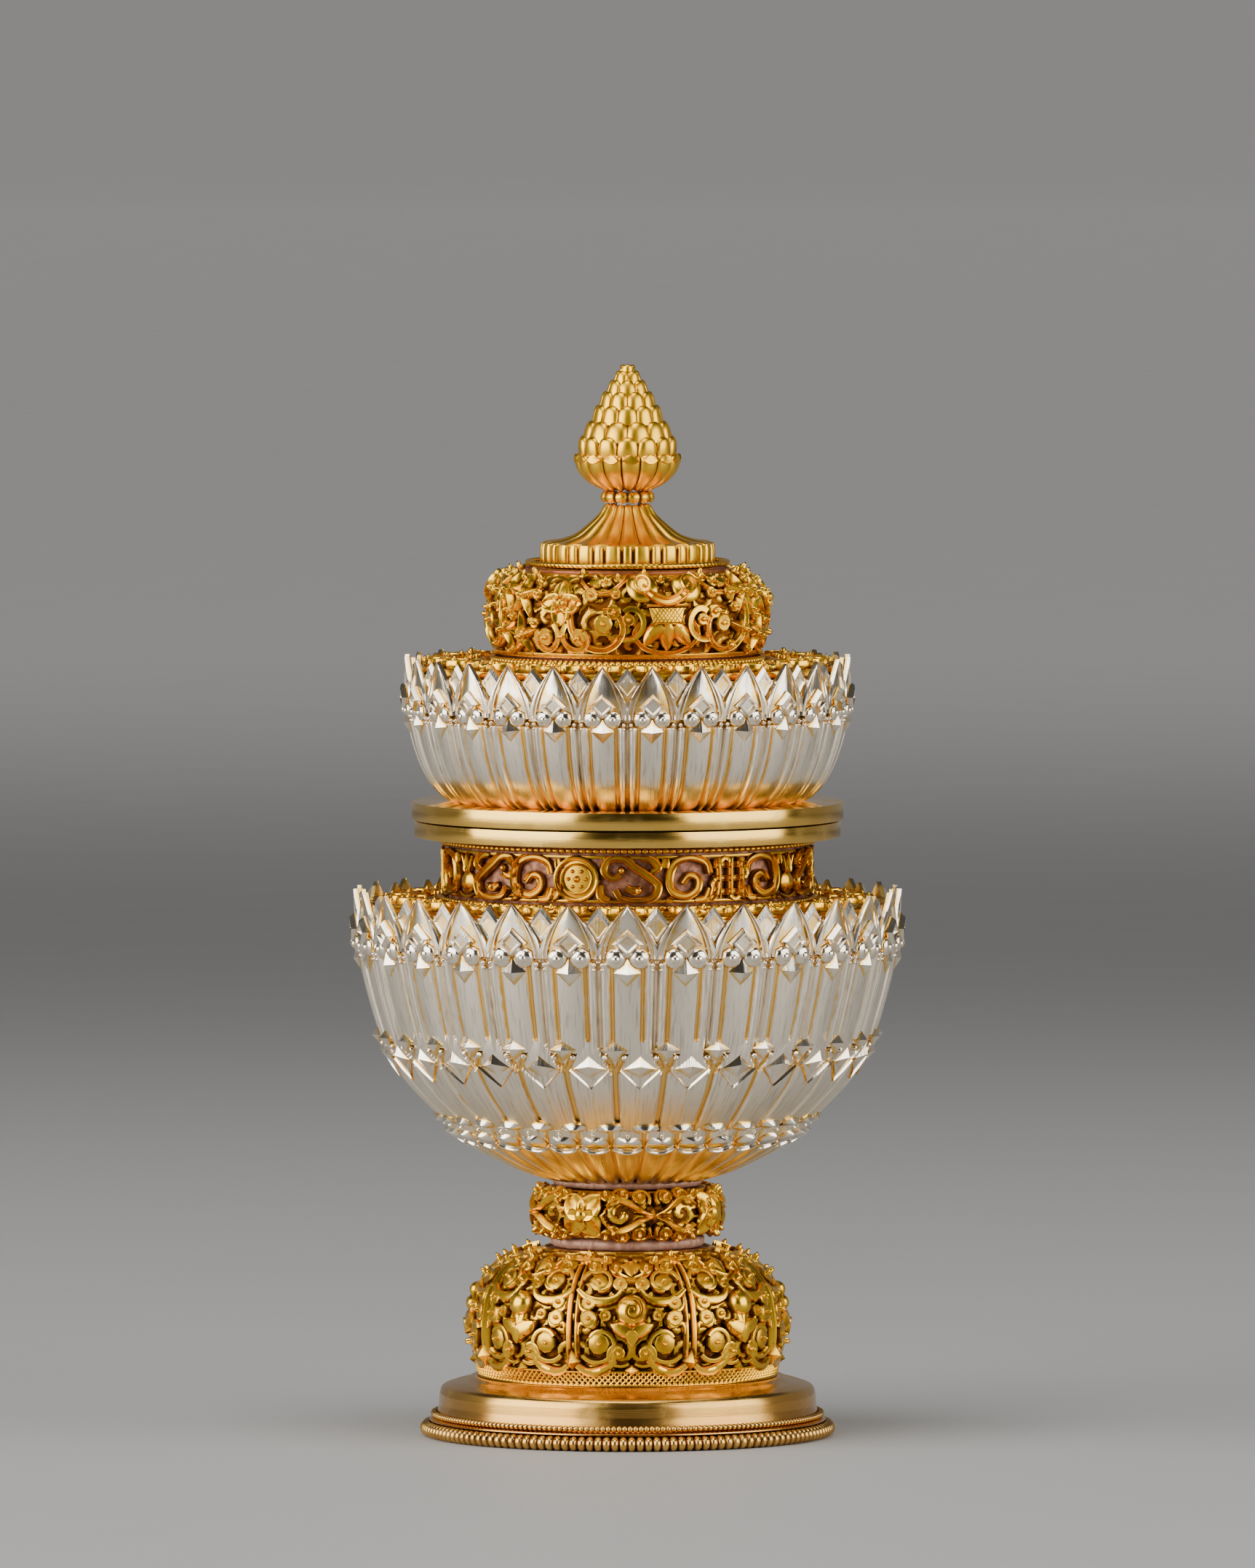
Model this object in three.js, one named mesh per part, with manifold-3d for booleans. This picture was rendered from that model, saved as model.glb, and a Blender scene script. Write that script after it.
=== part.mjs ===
// Lidded ceremonial vessel on a pedestal: a lotus bowl with an openwork neck, and a lid that lifts off.
// Millimetres, +Z up, origin at the bottom centre. Neighbouring pieces keep a small seat gap.
import * as THREE from 'three';
import Module from 'manifold-3d';
import { mergeVertices } from 'three/addons/utils/BufferGeometryUtils.js';

const wasm = await Module();
wasm.setup();

// Driving dimensions
const HEIGHT = 185; // from the sole to the tip of the finial
const GAP = 0.3; // seat gap between neighbouring pieces
const SHEET = 1.2; // sheet metal wall
const LOTUS_WALL = 2; // chased wall with its relief
const ROD_R = 2; // both threaded rods
const HOLE_R = ROD_R + GAP;
const PETALS = 29; // round the bowl
const LID_PETALS = 28; // round the lid
const PANELS = 8; // round the dome
const PANEL_TURN = 1.6; // degrees from +X to the first panel's middle
const ROUND = 32; // facets of a large turned piece
const SMALL_ROUND = 24; // facets of a small turned piece

// Heights of the main joints
const PLINTH_TOP = 10.3;
const DOME_TOP = 33.2;
const KNOP_TOP = 42.9;
const BOWL_BOTTOM = 45;
const DECK_TOP = 92.1;
const FLANGE_TOP = 106.2;
const FLANGE_THICK = 2.7;
const LID_FLANGE_TOP = 109.5;
const LID_DECK_TOP = 133.1;
const CROWN_TOP = 149.9;

// Radii that several pieces share
const FLANGE_R = 36.7;
const LID_FLANGE_R = 37.2;
const MOUTH_R = 29.6;

const SILVER = { color: 0xd9d4cb, roughness: 0.28, metalness: 1 };
const GOLD = { color: 0xe8ad3a, roughness: 0.3, metalness: 1 };
const BRASS = { color: 0xc9a25a, roughness: 0.35, metalness: 1 };
const COPPER = { color: 0x8c4a2a, roughness: 0.55, metalness: 1 };
const STEEL = { color: 0x9a9a98, roughness: 0.4, metalness: 1 };

const vessel = new THREE.Group();
const lid = new THREE.Group();

function addPiece(group, name, geometry, finish) {
  const mesh = new THREE.Mesh(geometry, new THREE.MeshStandardMaterial(finish));
  mesh.name = name;
  group.add(mesh);
  return mesh;
}

// Turns a closed outline of [radius, height] points, listed anticlockwise, about the Z axis.
function turned(outline, facets = ROUND) {
  const points = [...outline, outline[0]].map(([r, z]) => new THREE.Vector2(r, z));
  return new THREE.LatheGeometry(points, facets).rotateX(Math.PI / 2);
}

// Turns an outline whose first and last points lie on the axis.
function turnedSolid(outline, facets = ROUND) {
  const points = outline.map(([r, z]) => new THREE.Vector2(r, z));
  return new THREE.LatheGeometry(points, facets).rotateX(Math.PI / 2);
}

function ring(innerR, outerR, bottom, top, facets = ROUND) {
  return turned([[innerR, bottom], [outerR, bottom], [outerR, top], [innerR, top]], facets);
}

// A wire bent to a hoop, with a round section of few sides.
function hoop(centreR, centreZ, wireR, sides = 6, facets = ROUND) {
  const outline = [];
  for (let i = 0; i < sides; i += 1) {
    const angle = (2 * Math.PI * i) / sides;
    outline.push([centreR + wireR * Math.cos(angle), centreZ + wireR * Math.sin(angle)]);
  }
  return turned(outline, facets);
}

// Moves a wall's outline inwards by a distance along its own normals.
function inset(outline, distance) {
  return outline.map(([r, z], i) => {
    const before = outline[Math.max(i - 1, 0)];
    const after = outline[Math.min(i + 1, outline.length - 1)];
    const along = new THREE.Vector2(after[0] - before[0], after[1] - before[1]).normalize();
    return [r - distance * along.y, z + distance * along.x];
  });
}

// A wall with the given outer outline, listed from bottom to top.
function wall(outline, thickness) {
  return [...outline, ...inset(outline, thickness).reverse()];
}

// Raises every second facet of a shell's rim into a leaf tip. The rim is the outline's points from first to last.
function raiseTips(geometry, outlineLength, first, last, rise) {
  const position = geometry.getAttribute('position');
  for (let i = 0; i < position.count; i += 1) {
    const along = i % (outlineLength + 1);
    const facet = Math.floor(i / (outlineLength + 1));
    if (along >= first && along <= last && facet % 2 === 0) {
      position.setZ(i, position.getZ(i) + rise);
    }
  }
  return geometry;
}

function toManifold(geometry) {
  const plain = geometry.clone();
  plain.deleteAttribute('normal');
  plain.deleteAttribute('uv');
  const merged = mergeVertices(plain.index ? plain.toNonIndexed() : plain, 1e-4);
  const vertProperties = new Float32Array(merged.getAttribute('position').array);
  const triVerts = new Uint32Array(merged.index.array);
  return new wasm.Manifold(new wasm.Mesh({ numProp: 3, vertProperties, triVerts }));
}

function toGeometry(solid) {
  const mesh = solid.getMesh();
  const geometry = new THREE.BufferGeometry();
  geometry.setAttribute('position', new THREE.BufferAttribute(mesh.vertProperties, 3));
  geometry.setIndex(new THREE.BufferAttribute(mesh.triVerts, 1));
  return geometry;
}

function nut(bottom, height) {
  return ring(HOLE_R, 2.1 * ROD_R, bottom, bottom + height, 6);
}

function makePlinth() {
  const ledgeZ = 2.6;
  const ledgeR = 34.3;
  const wireR = 0.55;
  const plinth = [
    [ledgeR, ledgeZ], [ledgeR, ledgeZ + GAP], [32.7, ledgeZ + GAP], [32.6, 6.9], [32, 8.4],
    [31.3, 8.9], [27.6, 9.9], [26.3, PLINTH_TOP], [HOLE_R, PLINTH_TOP],
    [HOLE_R, PLINTH_TOP - SHEET], [26, PLINTH_TOP - SHEET], [30.8, 7.8], [31.4, 6.5], [31.5, ledgeZ],
  ];
  addPiece(vessel, 'sole_plate', turnedSolid([[0, 0], [32.8, 0], [32.8, SHEET], [0, SHEET]]), COPPER);
  addPiece(vessel, 'foot_bead_ring', hoop(34.6, 1.26, 1.26, 8), GOLD);
  addPiece(vessel, 'foot_bead_wire', hoop(33.5, ledgeZ + 2 * GAP + wireR, wireR), GOLD);
  addPiece(vessel, 'plinth', turned(plinth), BRASS);
}

// One raised rib of the dome, a strip that follows the dome's outline and sinks into its wall.
function domeRib(outline, turn) {
  const shape = new THREE.Shape();
  const outer = inset(outline, -0.6);
  const inner = inset(outline, 0.6);
  [...outer, ...inner.reverse()].forEach(([r, z], i) => (i ? shape.lineTo(r, z) : shape.moveTo(r, z)));
  const width = 1.1;
  const strip = new THREE.ExtrudeGeometry(shape, { depth: width, bevelEnabled: false });
  strip.translate(0, 0, -width / 2).rotateX(Math.PI / 2);
  return strip.rotateZ(turn);
}

function makeDome() {
  const outline = [
    [25.9, PLINTH_TOP + GAP], [27, 16], [26.8, 24], [25.2, 27.4], [22, 30.4], [15.6, DOME_TOP],
  ];
  const ribPath = outline.slice(1, -1);
  const linerOutline = inset(outline, SHEET + GAP);
  linerOutline[0][1] = outline[0][1];
  linerOutline.push([HOLE_R, DOME_TOP - SHEET]);
  let shell = toManifold(turned(wall(outline, SHEET)));
  for (let panel = 0; panel < PANELS; panel += 1) {
    for (const side of [-1, 1]) {
      const turn = THREE.MathUtils.degToRad(PANEL_TURN + (360 * (panel + 0.5)) / PANELS + 2.2 * side);
      shell = shell.add(toManifold(domeRib(ribPath, turn)));
    }
  }
  addPiece(vessel, 'dome_liner', turned(wall(linerOutline, 0.8)), COPPER);
  addPiece(vessel, 'dome_shell', toGeometry(shell), GOLD);
  for (let panel = 0; panel < PANELS; panel += 1) {
    const boss = new THREE.CylinderGeometry(2.6, 3.8, SHEET, 10).rotateZ(-Math.PI / 2);
    const emblem = addPiece(vessel, `dome_emblem_${panel + 1}`, boss, GOLD);
    const turn = THREE.MathUtils.degToRad(PANEL_TURN + (360 * panel) / PANELS);
    emblem.position.set(Math.cos(turn), Math.sin(turn), 0).multiplyScalar(28.2);
    emblem.position.z = 20.5;
    emblem.rotation.z = turn;
  }
}

function makeKnop() {
  const coreR = 13.4;
  const lowerCollar = DOME_TOP + GAP;
  const core = lowerCollar + 1.1 + GAP;
  const upperCollar = KNOP_TOP + GAP;
  const knop = [
    [coreR + GAP, core], [15.4, core], [16.6, 36], [17.1, 37.3], [16.9, 39], [17.1, 41],
    [15.4, KNOP_TOP], [coreR + GAP, KNOP_TOP],
  ];
  addPiece(vessel, 'knop_lower_collar', ring(HOLE_R, 14.6, lowerCollar, core - GAP, SMALL_ROUND), COPPER);
  addPiece(vessel, 'knop_core', ring(HOLE_R, coreR, core, KNOP_TOP, SMALL_ROUND), COPPER);
  addPiece(vessel, 'knop_ring', turned(knop, SMALL_ROUND), GOLD);
  addPiece(vessel, 'knop_upper_collar', ring(HOLE_R, 12.9, upperCollar, BOWL_BOTTOM - GAP, SMALL_ROUND), COPPER);
}

function makeStem(bowlFloor) {
  const washerTop = PLINTH_TOP - SHEET - GAP;
  const washer = ring(HOLE_R, 3 * ROD_R, washerTop - 0.6, washerTop, 12);
  const rodBottom = SHEET + 1.4;
  const rodTop = bowlFloor + 3;
  const rod = new THREE.CylinderGeometry(ROD_R, ROD_R, rodTop - rodBottom, 12).rotateX(Math.PI / 2);
  addPiece(vessel, 'stem_rod', rod, STEEL).position.z = (rodTop + rodBottom) / 2;
  addPiece(vessel, 'stem_washer', washer, STEEL);
  addPiece(vessel, 'stem_lower_nut', nut(washerTop - 0.6 - GAP - 2, 2), STEEL);
  addPiece(vessel, 'stem_upper_nut', nut(bowlFloor + GAP, 2), STEEL);
}

// Returns the height of the bowl's inside floor.
function makeBowl() {
  const rimZ = 91.8;
  const outline = [
    [HOLE_R, BOWL_BOTTOM], [12.9, BOWL_BOTTOM], [24.2, 49.5], [31.4, 55], [38.7, 62],
    [42.8, 69.5], [46.4, 80.5], [48.1, 84.5], [48.1, 88], [47.4, rimZ],
  ];
  const bowl = wall(outline, LOTUS_WALL);
  const rim = outline.length - 1;
  const tips = raiseTips(turned(bowl, 2 * PETALS), bowl.length, rim, rim + 1, 94.6 - rimZ);
  const lined = inset(outline.slice(0, -3), LOTUS_WALL + GAP);
  const liner = [...lined, [45.1, DECK_TOP - SHEET - GAP]];
  addPiece(vessel, 'bowl_lotus', tips, SILVER);
  addPiece(vessel, 'bowl_liner', turned(wall(liner, SHEET)), SILVER);
  addPiece(vessel, 'bowl_deck', ring(MOUTH_R, 45, DECK_TOP - SHEET, DECK_TOP), GOLD);
  return BOWL_BOTTOM + LOTUS_WALL + GAP + SHEET;
}

function makeNeck() {
  const flangeBottom = FLANGE_TOP - FLANGE_THICK;
  const lowerWireR = 0.55;
  const upperWireR = 0.5;
  const bandBottom = DECK_TOP + 2 * GAP + 2 * lowerWireR;
  const bandTop = flangeBottom - 2 * GAP - 2 * upperWireR;
  const sleeveR = MOUTH_R + SHEET;
  const bandR = sleeveR + GAP + SHEET;
  addPiece(vessel, 'deck_bead_wire', hoop(32.2, DECK_TOP + GAP + lowerWireR, lowerWireR), GOLD);
  addPiece(vessel, 'neck_sleeve', ring(MOUTH_R, sleeveR, DECK_TOP + GAP, flangeBottom - GAP), COPPER);
  addPiece(vessel, 'neck_band', ring(sleeveR + GAP, bandR, bandBottom, bandTop), GOLD);
  addPiece(vessel, 'neck_bead_wire', hoop(32.1, flangeBottom - GAP - upperWireR, upperWireR), GOLD);
  addPiece(vessel, 'vessel_flange', ring(MOUTH_R, FLANGE_R, flangeBottom, FLANGE_TOP), BRASS);
}

function makeLidBody() {
  const flangeBottom = FLANGE_TOP + GAP;
  const spigotR = MOUTH_R - 0.6;
  const spigotBottom = 98.5;
  const rimZ = 132.4;
  const outline = [
    [28.6, LID_FLANGE_TOP + GAP], [33.2, 112.4], [36.4, 118.2], [39.2, 125.5],
    [38.7, 130], [38.3, rimZ],
  ];
  const lotus = wall(outline, LOTUS_WALL);
  const rim = outline.length - 1;
  const tips = raiseTips(turned(lotus, 2 * LID_PETALS), lotus.length, rim, rim + 1, 134.9 - rimZ);
  const disc = [[0, flangeBottom], [LID_FLANGE_R, flangeBottom], [LID_FLANGE_R, LID_FLANGE_TOP], [0, LID_FLANGE_TOP]];
  const spigot = ring(spigotR - SHEET, spigotR, spigotBottom, FLANGE_TOP);
  addPiece(lid, 'lid_spigot', spigot, BRASS);
  addPiece(lid, 'lid_flange', turnedSolid(disc), BRASS);
  addPiece(lid, 'lid_lotus', tips, SILVER);
  addPiece(lid, 'lid_deck', ring(HOLE_R, 35.9, LID_DECK_TOP - SHEET, LID_DECK_TOP), GOLD);
}

function makeCrown() {
  const ropeR = 0.7;
  const upperRopeR = 0.5;
  const bandBottom = LID_DECK_TOP + 2 * GAP + 2 * ropeR;
  const outline = [
    [22.8, bandBottom], [24.7, 139.5], [24.4, 144.4], [22.4, 148.1], [18.6, CROWN_TOP],
  ];
  const sleeve = inset(outline, SHEET + GAP);
  const sleeveTop = sleeve.at(-1)[1] - 0.05;
  sleeve.unshift([sleeve[0][0] - GAP, LID_DECK_TOP + GAP]);
  sleeve.push([HOLE_R, sleeveTop]);
  addPiece(lid, 'crown_lower_rope', hoop(23.2, LID_DECK_TOP + GAP + ropeR, ropeR), GOLD);
  addPiece(lid, 'crown_sleeve', turned(wall(sleeve, 0.8)), COPPER);
  addPiece(lid, 'crown_band', turned(wall(outline, SHEET)), GOLD);
  addPiece(lid, 'crown_top_plate', ring(HOLE_R, 17.6, sleeveTop + GAP, CROWN_TOP), COPPER);
  addPiece(lid, 'crown_upper_rope', hoop(17.2, CROWN_TOP + GAP + upperRopeR, upperRopeR), GOLD);
}

function makeFinial() {
  const baseBottom = CROWN_TOP + GAP;
  const collar = 160.9;
  const bud = 163.3;
  const socket = 169;
  const base = [
    [HOLE_R, baseBottom], [15.2, baseBottom], [15.2, 154.3], [10.8, 154.5], [8.5, 155.3],
    [6.6, 157.3], [4.6, 159.3], [3.9, collar - GAP], [HOLE_R, collar - GAP],
  ];
  const budOutline = [
    [0, socket], [HOLE_R, socket], [HOLE_R, bud], [4.3, bud], [6.8, 164.8], [8.7, 167], [9.1, 169],
    [8.6, 171.6], [7, 175], [5.2, 178], [3.8, 180], [1.6, 183], [0, HEIGHT],
  ];
  const studTop = socket - 0.6;
  const studBottom = 127.5;
  const stud = new THREE.CylinderGeometry(ROD_R, ROD_R, studTop - studBottom, 12).rotateX(Math.PI / 2);
  const washerTop = LID_DECK_TOP - SHEET - GAP;
  addPiece(lid, 'finial_base', turned(base), GOLD);
  addPiece(lid, 'finial_bead_collar', hoop(3.75, (collar + bud - GAP) / 2, 1.05, 8, SMALL_ROUND), GOLD);
  addPiece(lid, 'finial_bud', turnedSolid(budOutline, SMALL_ROUND), GOLD);
  addPiece(lid, 'finial_stud', stud, STEEL).position.z = (studTop + studBottom) / 2;
  addPiece(lid, 'finial_washer', ring(HOLE_R, 3 * ROD_R, washerTop - 0.6, washerTop, 12), STEEL);
  addPiece(lid, 'finial_nut', nut(washerTop - 0.6 - GAP - 2, 2), STEEL);
}

makePlinth();
makeDome();
makeKnop();
makeStem(makeBowl());
makeNeck();
makeLidBody();
makeCrown();
makeFinial();

const ciborium = new THREE.Group();
ciborium.add(vessel, lid);

export default ciborium;
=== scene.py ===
"""Lidded lotus vessel on a pierced pedestal: chased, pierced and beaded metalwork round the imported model.

Shapes are worked out in millimetres. A flat ornament has its own axes: u to the right, v up and h
outwards. It is then laid on a Course, an outline turned about the vessel's axis. Turns are counted in
radians from the front, to the right.
"""

import math

import bpy
import numpy as np
from bpy.props import FloatProperty, FloatVectorProperty, IntProperty, PointerProperty
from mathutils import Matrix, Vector


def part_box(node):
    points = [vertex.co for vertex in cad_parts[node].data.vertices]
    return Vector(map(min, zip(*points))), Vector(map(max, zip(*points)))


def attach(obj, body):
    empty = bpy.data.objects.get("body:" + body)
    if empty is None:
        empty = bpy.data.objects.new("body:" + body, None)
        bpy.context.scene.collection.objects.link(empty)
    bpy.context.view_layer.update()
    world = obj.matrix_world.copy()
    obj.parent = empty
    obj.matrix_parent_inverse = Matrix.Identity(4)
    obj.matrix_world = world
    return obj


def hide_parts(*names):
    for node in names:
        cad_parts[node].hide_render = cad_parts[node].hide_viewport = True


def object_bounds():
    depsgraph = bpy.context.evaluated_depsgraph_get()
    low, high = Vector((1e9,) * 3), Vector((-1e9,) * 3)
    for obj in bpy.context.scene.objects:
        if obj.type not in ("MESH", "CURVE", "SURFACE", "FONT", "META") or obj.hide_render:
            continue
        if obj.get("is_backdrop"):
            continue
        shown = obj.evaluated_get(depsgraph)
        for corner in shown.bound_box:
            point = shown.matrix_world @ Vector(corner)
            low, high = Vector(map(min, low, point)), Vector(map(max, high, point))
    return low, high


bl_info = {
    "name": "Lotus Vessel",
    "version": (1, 0, 0),
    "blender": (4, 5, 0),
    "location": "3D View > Sidebar > Vessel",
    "description": "Builds the chased and pierced metalwork of a lidded lotus vessel",
    "category": "Add Mesh",
}

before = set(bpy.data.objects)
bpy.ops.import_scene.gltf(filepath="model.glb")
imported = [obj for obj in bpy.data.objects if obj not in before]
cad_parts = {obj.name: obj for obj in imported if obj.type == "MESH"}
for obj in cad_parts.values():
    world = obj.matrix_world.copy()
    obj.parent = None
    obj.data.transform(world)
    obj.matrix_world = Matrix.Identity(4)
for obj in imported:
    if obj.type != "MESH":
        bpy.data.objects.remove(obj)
CAD_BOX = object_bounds()
MM = 0.001
TURN = 2 * math.pi
DOME_START = 1.6  # degrees from the front to the middle of the dome's first panel
MERGE = 1e-4  # corners closer than this, in millimetres, become one


def low(node):
    """The height of a CAD node's lowest point, in millimetres."""
    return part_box(node)[0].z / MM


def high(node):
    """The height of a CAD node's highest point, in millimetres."""
    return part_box(node)[1].z / MM


def middle_height(node):
    """The height half way up a CAD node, in millimetres."""
    return (low(node) + high(node)) / 2


def reach(node):
    """A round CAD node's largest radius, in millimetres."""
    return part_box(node)[1].x / MM


# ---------------------------------------------------------------- settings


def colour(name, description, default):
    return FloatVectorProperty(
        name=name, description=description, default=default, size=3, subtype="COLOR", min=0, max=1
    )


class VesselSizes(bpy.types.PropertyGroup):
    """How many times each ornament is repeated, and how deep it is cut."""

    bowl_petals: IntProperty(name="Bowl petals", description="Leaf tips round the bowl", default=29, min=8)
    middle_petals: IntProperty(name="Middle petals", description="Petals of the bowl's middle tier",
                               default=30, min=8)
    lower_petals: IntProperty(name="Lower petals", description="Flutes under the bowl", default=33, min=8)
    lid_petals: IntProperty(name="Lid petals", description="Leaf tips round the lid", default=28, min=8)
    dome_panels: IntProperty(name="Dome panels", description="Panels round the pedestal's dome", default=8,
                             min=3)
    foot_beads: IntProperty(name="Foot beads", description="Flattened beads under the foot", default=152,
                            min=12)
    foot_pearls: IntProperty(name="Foot pearls", description="Pearls of the wire above them", default=224,
                             min=12)
    rib_height: FloatProperty(name="Rib height", description="How far a petal's ribs stand out, in mm",
                              default=0.95)
    pierced_height: FloatProperty(name="Scroll height", description="How thick the scrollwork is, in mm",
                                  default=1.0)


class VesselColours(bpy.types.PropertyGroup):
    """The metals' colours."""

    silver: colour("Silver", "Chased silver", (0.89, 0.79, 0.64))
    groove: colour("Groove", "Gilding left in the silver's grooves", (0.8, 0.5, 0.1))
    gold: colour("Gold", "Polished gilding", (0.88, 0.5, 0.026))
    # Dark red-brown put into the hollows: partly red copper where the gilding is worn, partly painted shade.
    dark_copper_and_shade: colour("Deep gold", "Gilding in the hollows of the scrollwork", (0.16, 0.052, 0.008))
    brass: colour("Brass", "Brushed gilding of the turned discs", (0.72, 0.43, 0.085))
    copper: colour("Copper", "Red copper behind the scrollwork", (0.3, 0.1, 0.045))
    solder: colour("Solder", "Pinkish bare metal of the collars", (0.52, 0.28, 0.18))
    steel: colour("Steel", "Hidden rods and nuts", (0.5, 0.5, 0.49))
    floor: colour("Floor", "The studio floor", (0.36, 0.355, 0.345))


# ---------------------------------------------------------------- forms


def all_turns(count):
    """Equal turns right round, as a column."""
    return np.linspace(0, TURN, count, endpoint=False)[:, None]


class Form:
    """Part of a piece: corners (n, 3), quads (m, 4), and how proud each corner stands, from 0 in a
    hollow to 1."""

    def __init__(self, corners, quads, proud):
        self.corners = corners
        self.quads = quads
        self.proud = proud

    def moved(self, u=0.0, v=0.0, h=0.0):
        return Form(self.corners + np.array([u, v, h]), self.quads, self.proud)

    def rotated(self, angle):
        """Turned in the plane of u and v, anticlockwise as seen from outside."""
        u, v, h = self.corners.T
        cos, sin = math.cos(angle), math.sin(angle)
        return Form(np.stack([u * cos - v * sin, u * sin + v * cos, h], 1), self.quads, self.proud)

    def stretched(self, across, up):
        return Form(self.corners * np.array([across, up, 1]), self.quads, self.proud)

    def mirrored(self):
        """Left and right swapped, with the quads' order turned round to match."""
        return Form(self.corners * np.array([-1, 1, 1]), self.quads[:, ::-1], self.proud)


def joined(forms):
    """Several forms as one."""
    counts = np.cumsum([0] + [len(f.corners) for f in forms])
    quads = [f.quads + n for f, n in zip(forms, counts)]
    corners = np.concatenate([f.corners for f in forms])
    return Form(corners, np.concatenate(quads), np.concatenate([f.proud for f in forms]))


def both_sides(forms):
    """The forms and their mirror images."""
    return list(forms) + [f.mirrored() for f in forms]


def grid_form(points, proud, wrap_u=False, wrap_v=False):
    """Points (rows along u, rows along v, 3) joined into quads that face u x v, closed where wrap says
    so."""
    nu, nv = points.shape[:2]
    index = np.arange(nu * nv).reshape(nu, nv)
    right = np.roll(index, -1, 0) if wrap_u else index[1:]
    here = index if wrap_u else index[:-1]
    if not wrap_v:
        here, right = np.dstack([here[:, :-1], here[:, 1:]]), np.dstack([right[:, :-1], right[:, 1:]])
    else:
        here = np.dstack([here, np.roll(here, -1, 1)])
        right = np.dstack([right, np.roll(right, -1, 1)])
    quads = np.stack([here[..., 0], right[..., 0], right[..., 1], here[..., 1]], -1).reshape(-1, 4)
    return Form(points.reshape(-1, 3), quads, np.broadcast_to(proud, (nu, nv)).reshape(-1).astype(float))


def smooth_curve(points, steps=10, closed=False):
    """A Catmull-Rom curve through the points: each span is the cubic whose end slopes are half the
    chord across it."""
    p = np.array(points, float)
    if closed:
        p = np.vstack([p[-1], p, p[:2]])
    else:
        p = np.vstack([2 * p[0] - p[1], p, 2 * p[-1] - p[-2]])
    s = np.linspace(0, 1, steps, endpoint=False)[None, :, None]
    a, b, c, d = (p[i : len(p) - 3 + i, None, :] for i in range(4))
    spans = b + s * (c - a) / 2 + s**2 * (a - 2.5 * b + 2 * c - d / 2) + s**3 * (1.5 * (b - c) + (d - a)
                                                                                 / 2)
    curve = spans.reshape(-1, p.shape[1])
    return curve if closed else np.vstack([curve, p[-2]])


def turned_form(outline, sides=12):
    """A small turned shape: [radius, height] points from the axis underneath to the axis on top, turned
    about h."""
    rho, height = np.array(outline, float).T
    phi = all_turns(sides)
    points = np.stack([rho * np.cos(phi), rho * np.sin(phi), height + 0 * phi], -1)
    return grid_form(points, np.clip(height / max(height), 0, 1), wrap_u=True)


def cut_form(outline, levels, apex=(0.0, 0.0)):
    """A cut stone: the outline (k, 2) shrunk towards its apex by each level's scale and raised to its
    height."""
    corners = np.array(outline, float)[:, None, :]
    scale, height = np.array(levels, float).T
    middle = np.array(apex, float)
    flat = middle + (corners - middle) * scale[None, :, None]
    points = np.concatenate([flat, np.broadcast_to(height[None, :, None], flat.shape[:2] + (1,))], 2)
    return grid_form(points, np.clip(height / max(height), 0, 1), wrap_u=True)


def symmetric(right, lowest):
    """A section that runs over the top from the right edge to the left, then back underneath: its right
    half as [across, height] points, their mirror images, and the height of its lowest point."""
    left = [(-across, height) for across, height in reversed(right) if across]
    return right + left + [(0, lowest)]


FLAT = symmetric([(1, 0), (1, 0.7), (0.8, 1), (0, 0.9)], -0.3)
ROUND = symmetric([(1, 0), (0.92, 0.55), (0.55, 0.92), (0, 1)], -0.3)
CHANNEL = symmetric([(1, 0), (1, 0.75), (0.8, 1), (0.55, 0.9), (0.3, 0.5)], -0.3)
RIDGE = symmetric([(1, 0), (0.9, 0.35), (0.12, 1)], -0.3)


def stroke_form(path, width, height, section=ROUND):
    """A strip carried along a path: at each step the section is scaled by the half width across and the
    height up."""
    path = np.array(path, float)
    n = len(path)
    half = np.broadcast_to(np.asarray(width, float) / 2, n)[:, None]
    tall = np.broadcast_to(np.asarray(height, float), n)[:, None]
    along = np.gradient(path, axis=0)
    along /= np.maximum(np.linalg.norm(along, axis=1, keepdims=True), 1e-9)
    across, lift = np.array(section, float).T
    side = np.stack([along[:, 1], -along[:, 0]], 1)
    flat = path[:, None, :] + side[:, None, :] * (across * half)[..., None]
    points = np.concatenate([flat, (lift * tall)[..., None]], 2)
    first, last = (np.broadcast_to(points[i].mean(0), (1, len(across), 3)) for i in (0, -1))
    points = np.concatenate([first, points, last])
    proud = np.clip(lift, 0, 1) * np.ones((n + 2, 1))
    return grid_form(points, proud, wrap_v=True)


def tapered(n, start=0.35, end=0.35, full=1.0):
    """A width that swells from one end share to the full width in the middle and back, as a sine."""
    s = np.linspace(0, 1, n)
    return full * (np.interp(s, [0, 0.5, 1], [start, 1, end]) + 0.25 * np.sin(math.pi * s)) / 1.25


# ---------------------------------------------------------------- outlines


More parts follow.
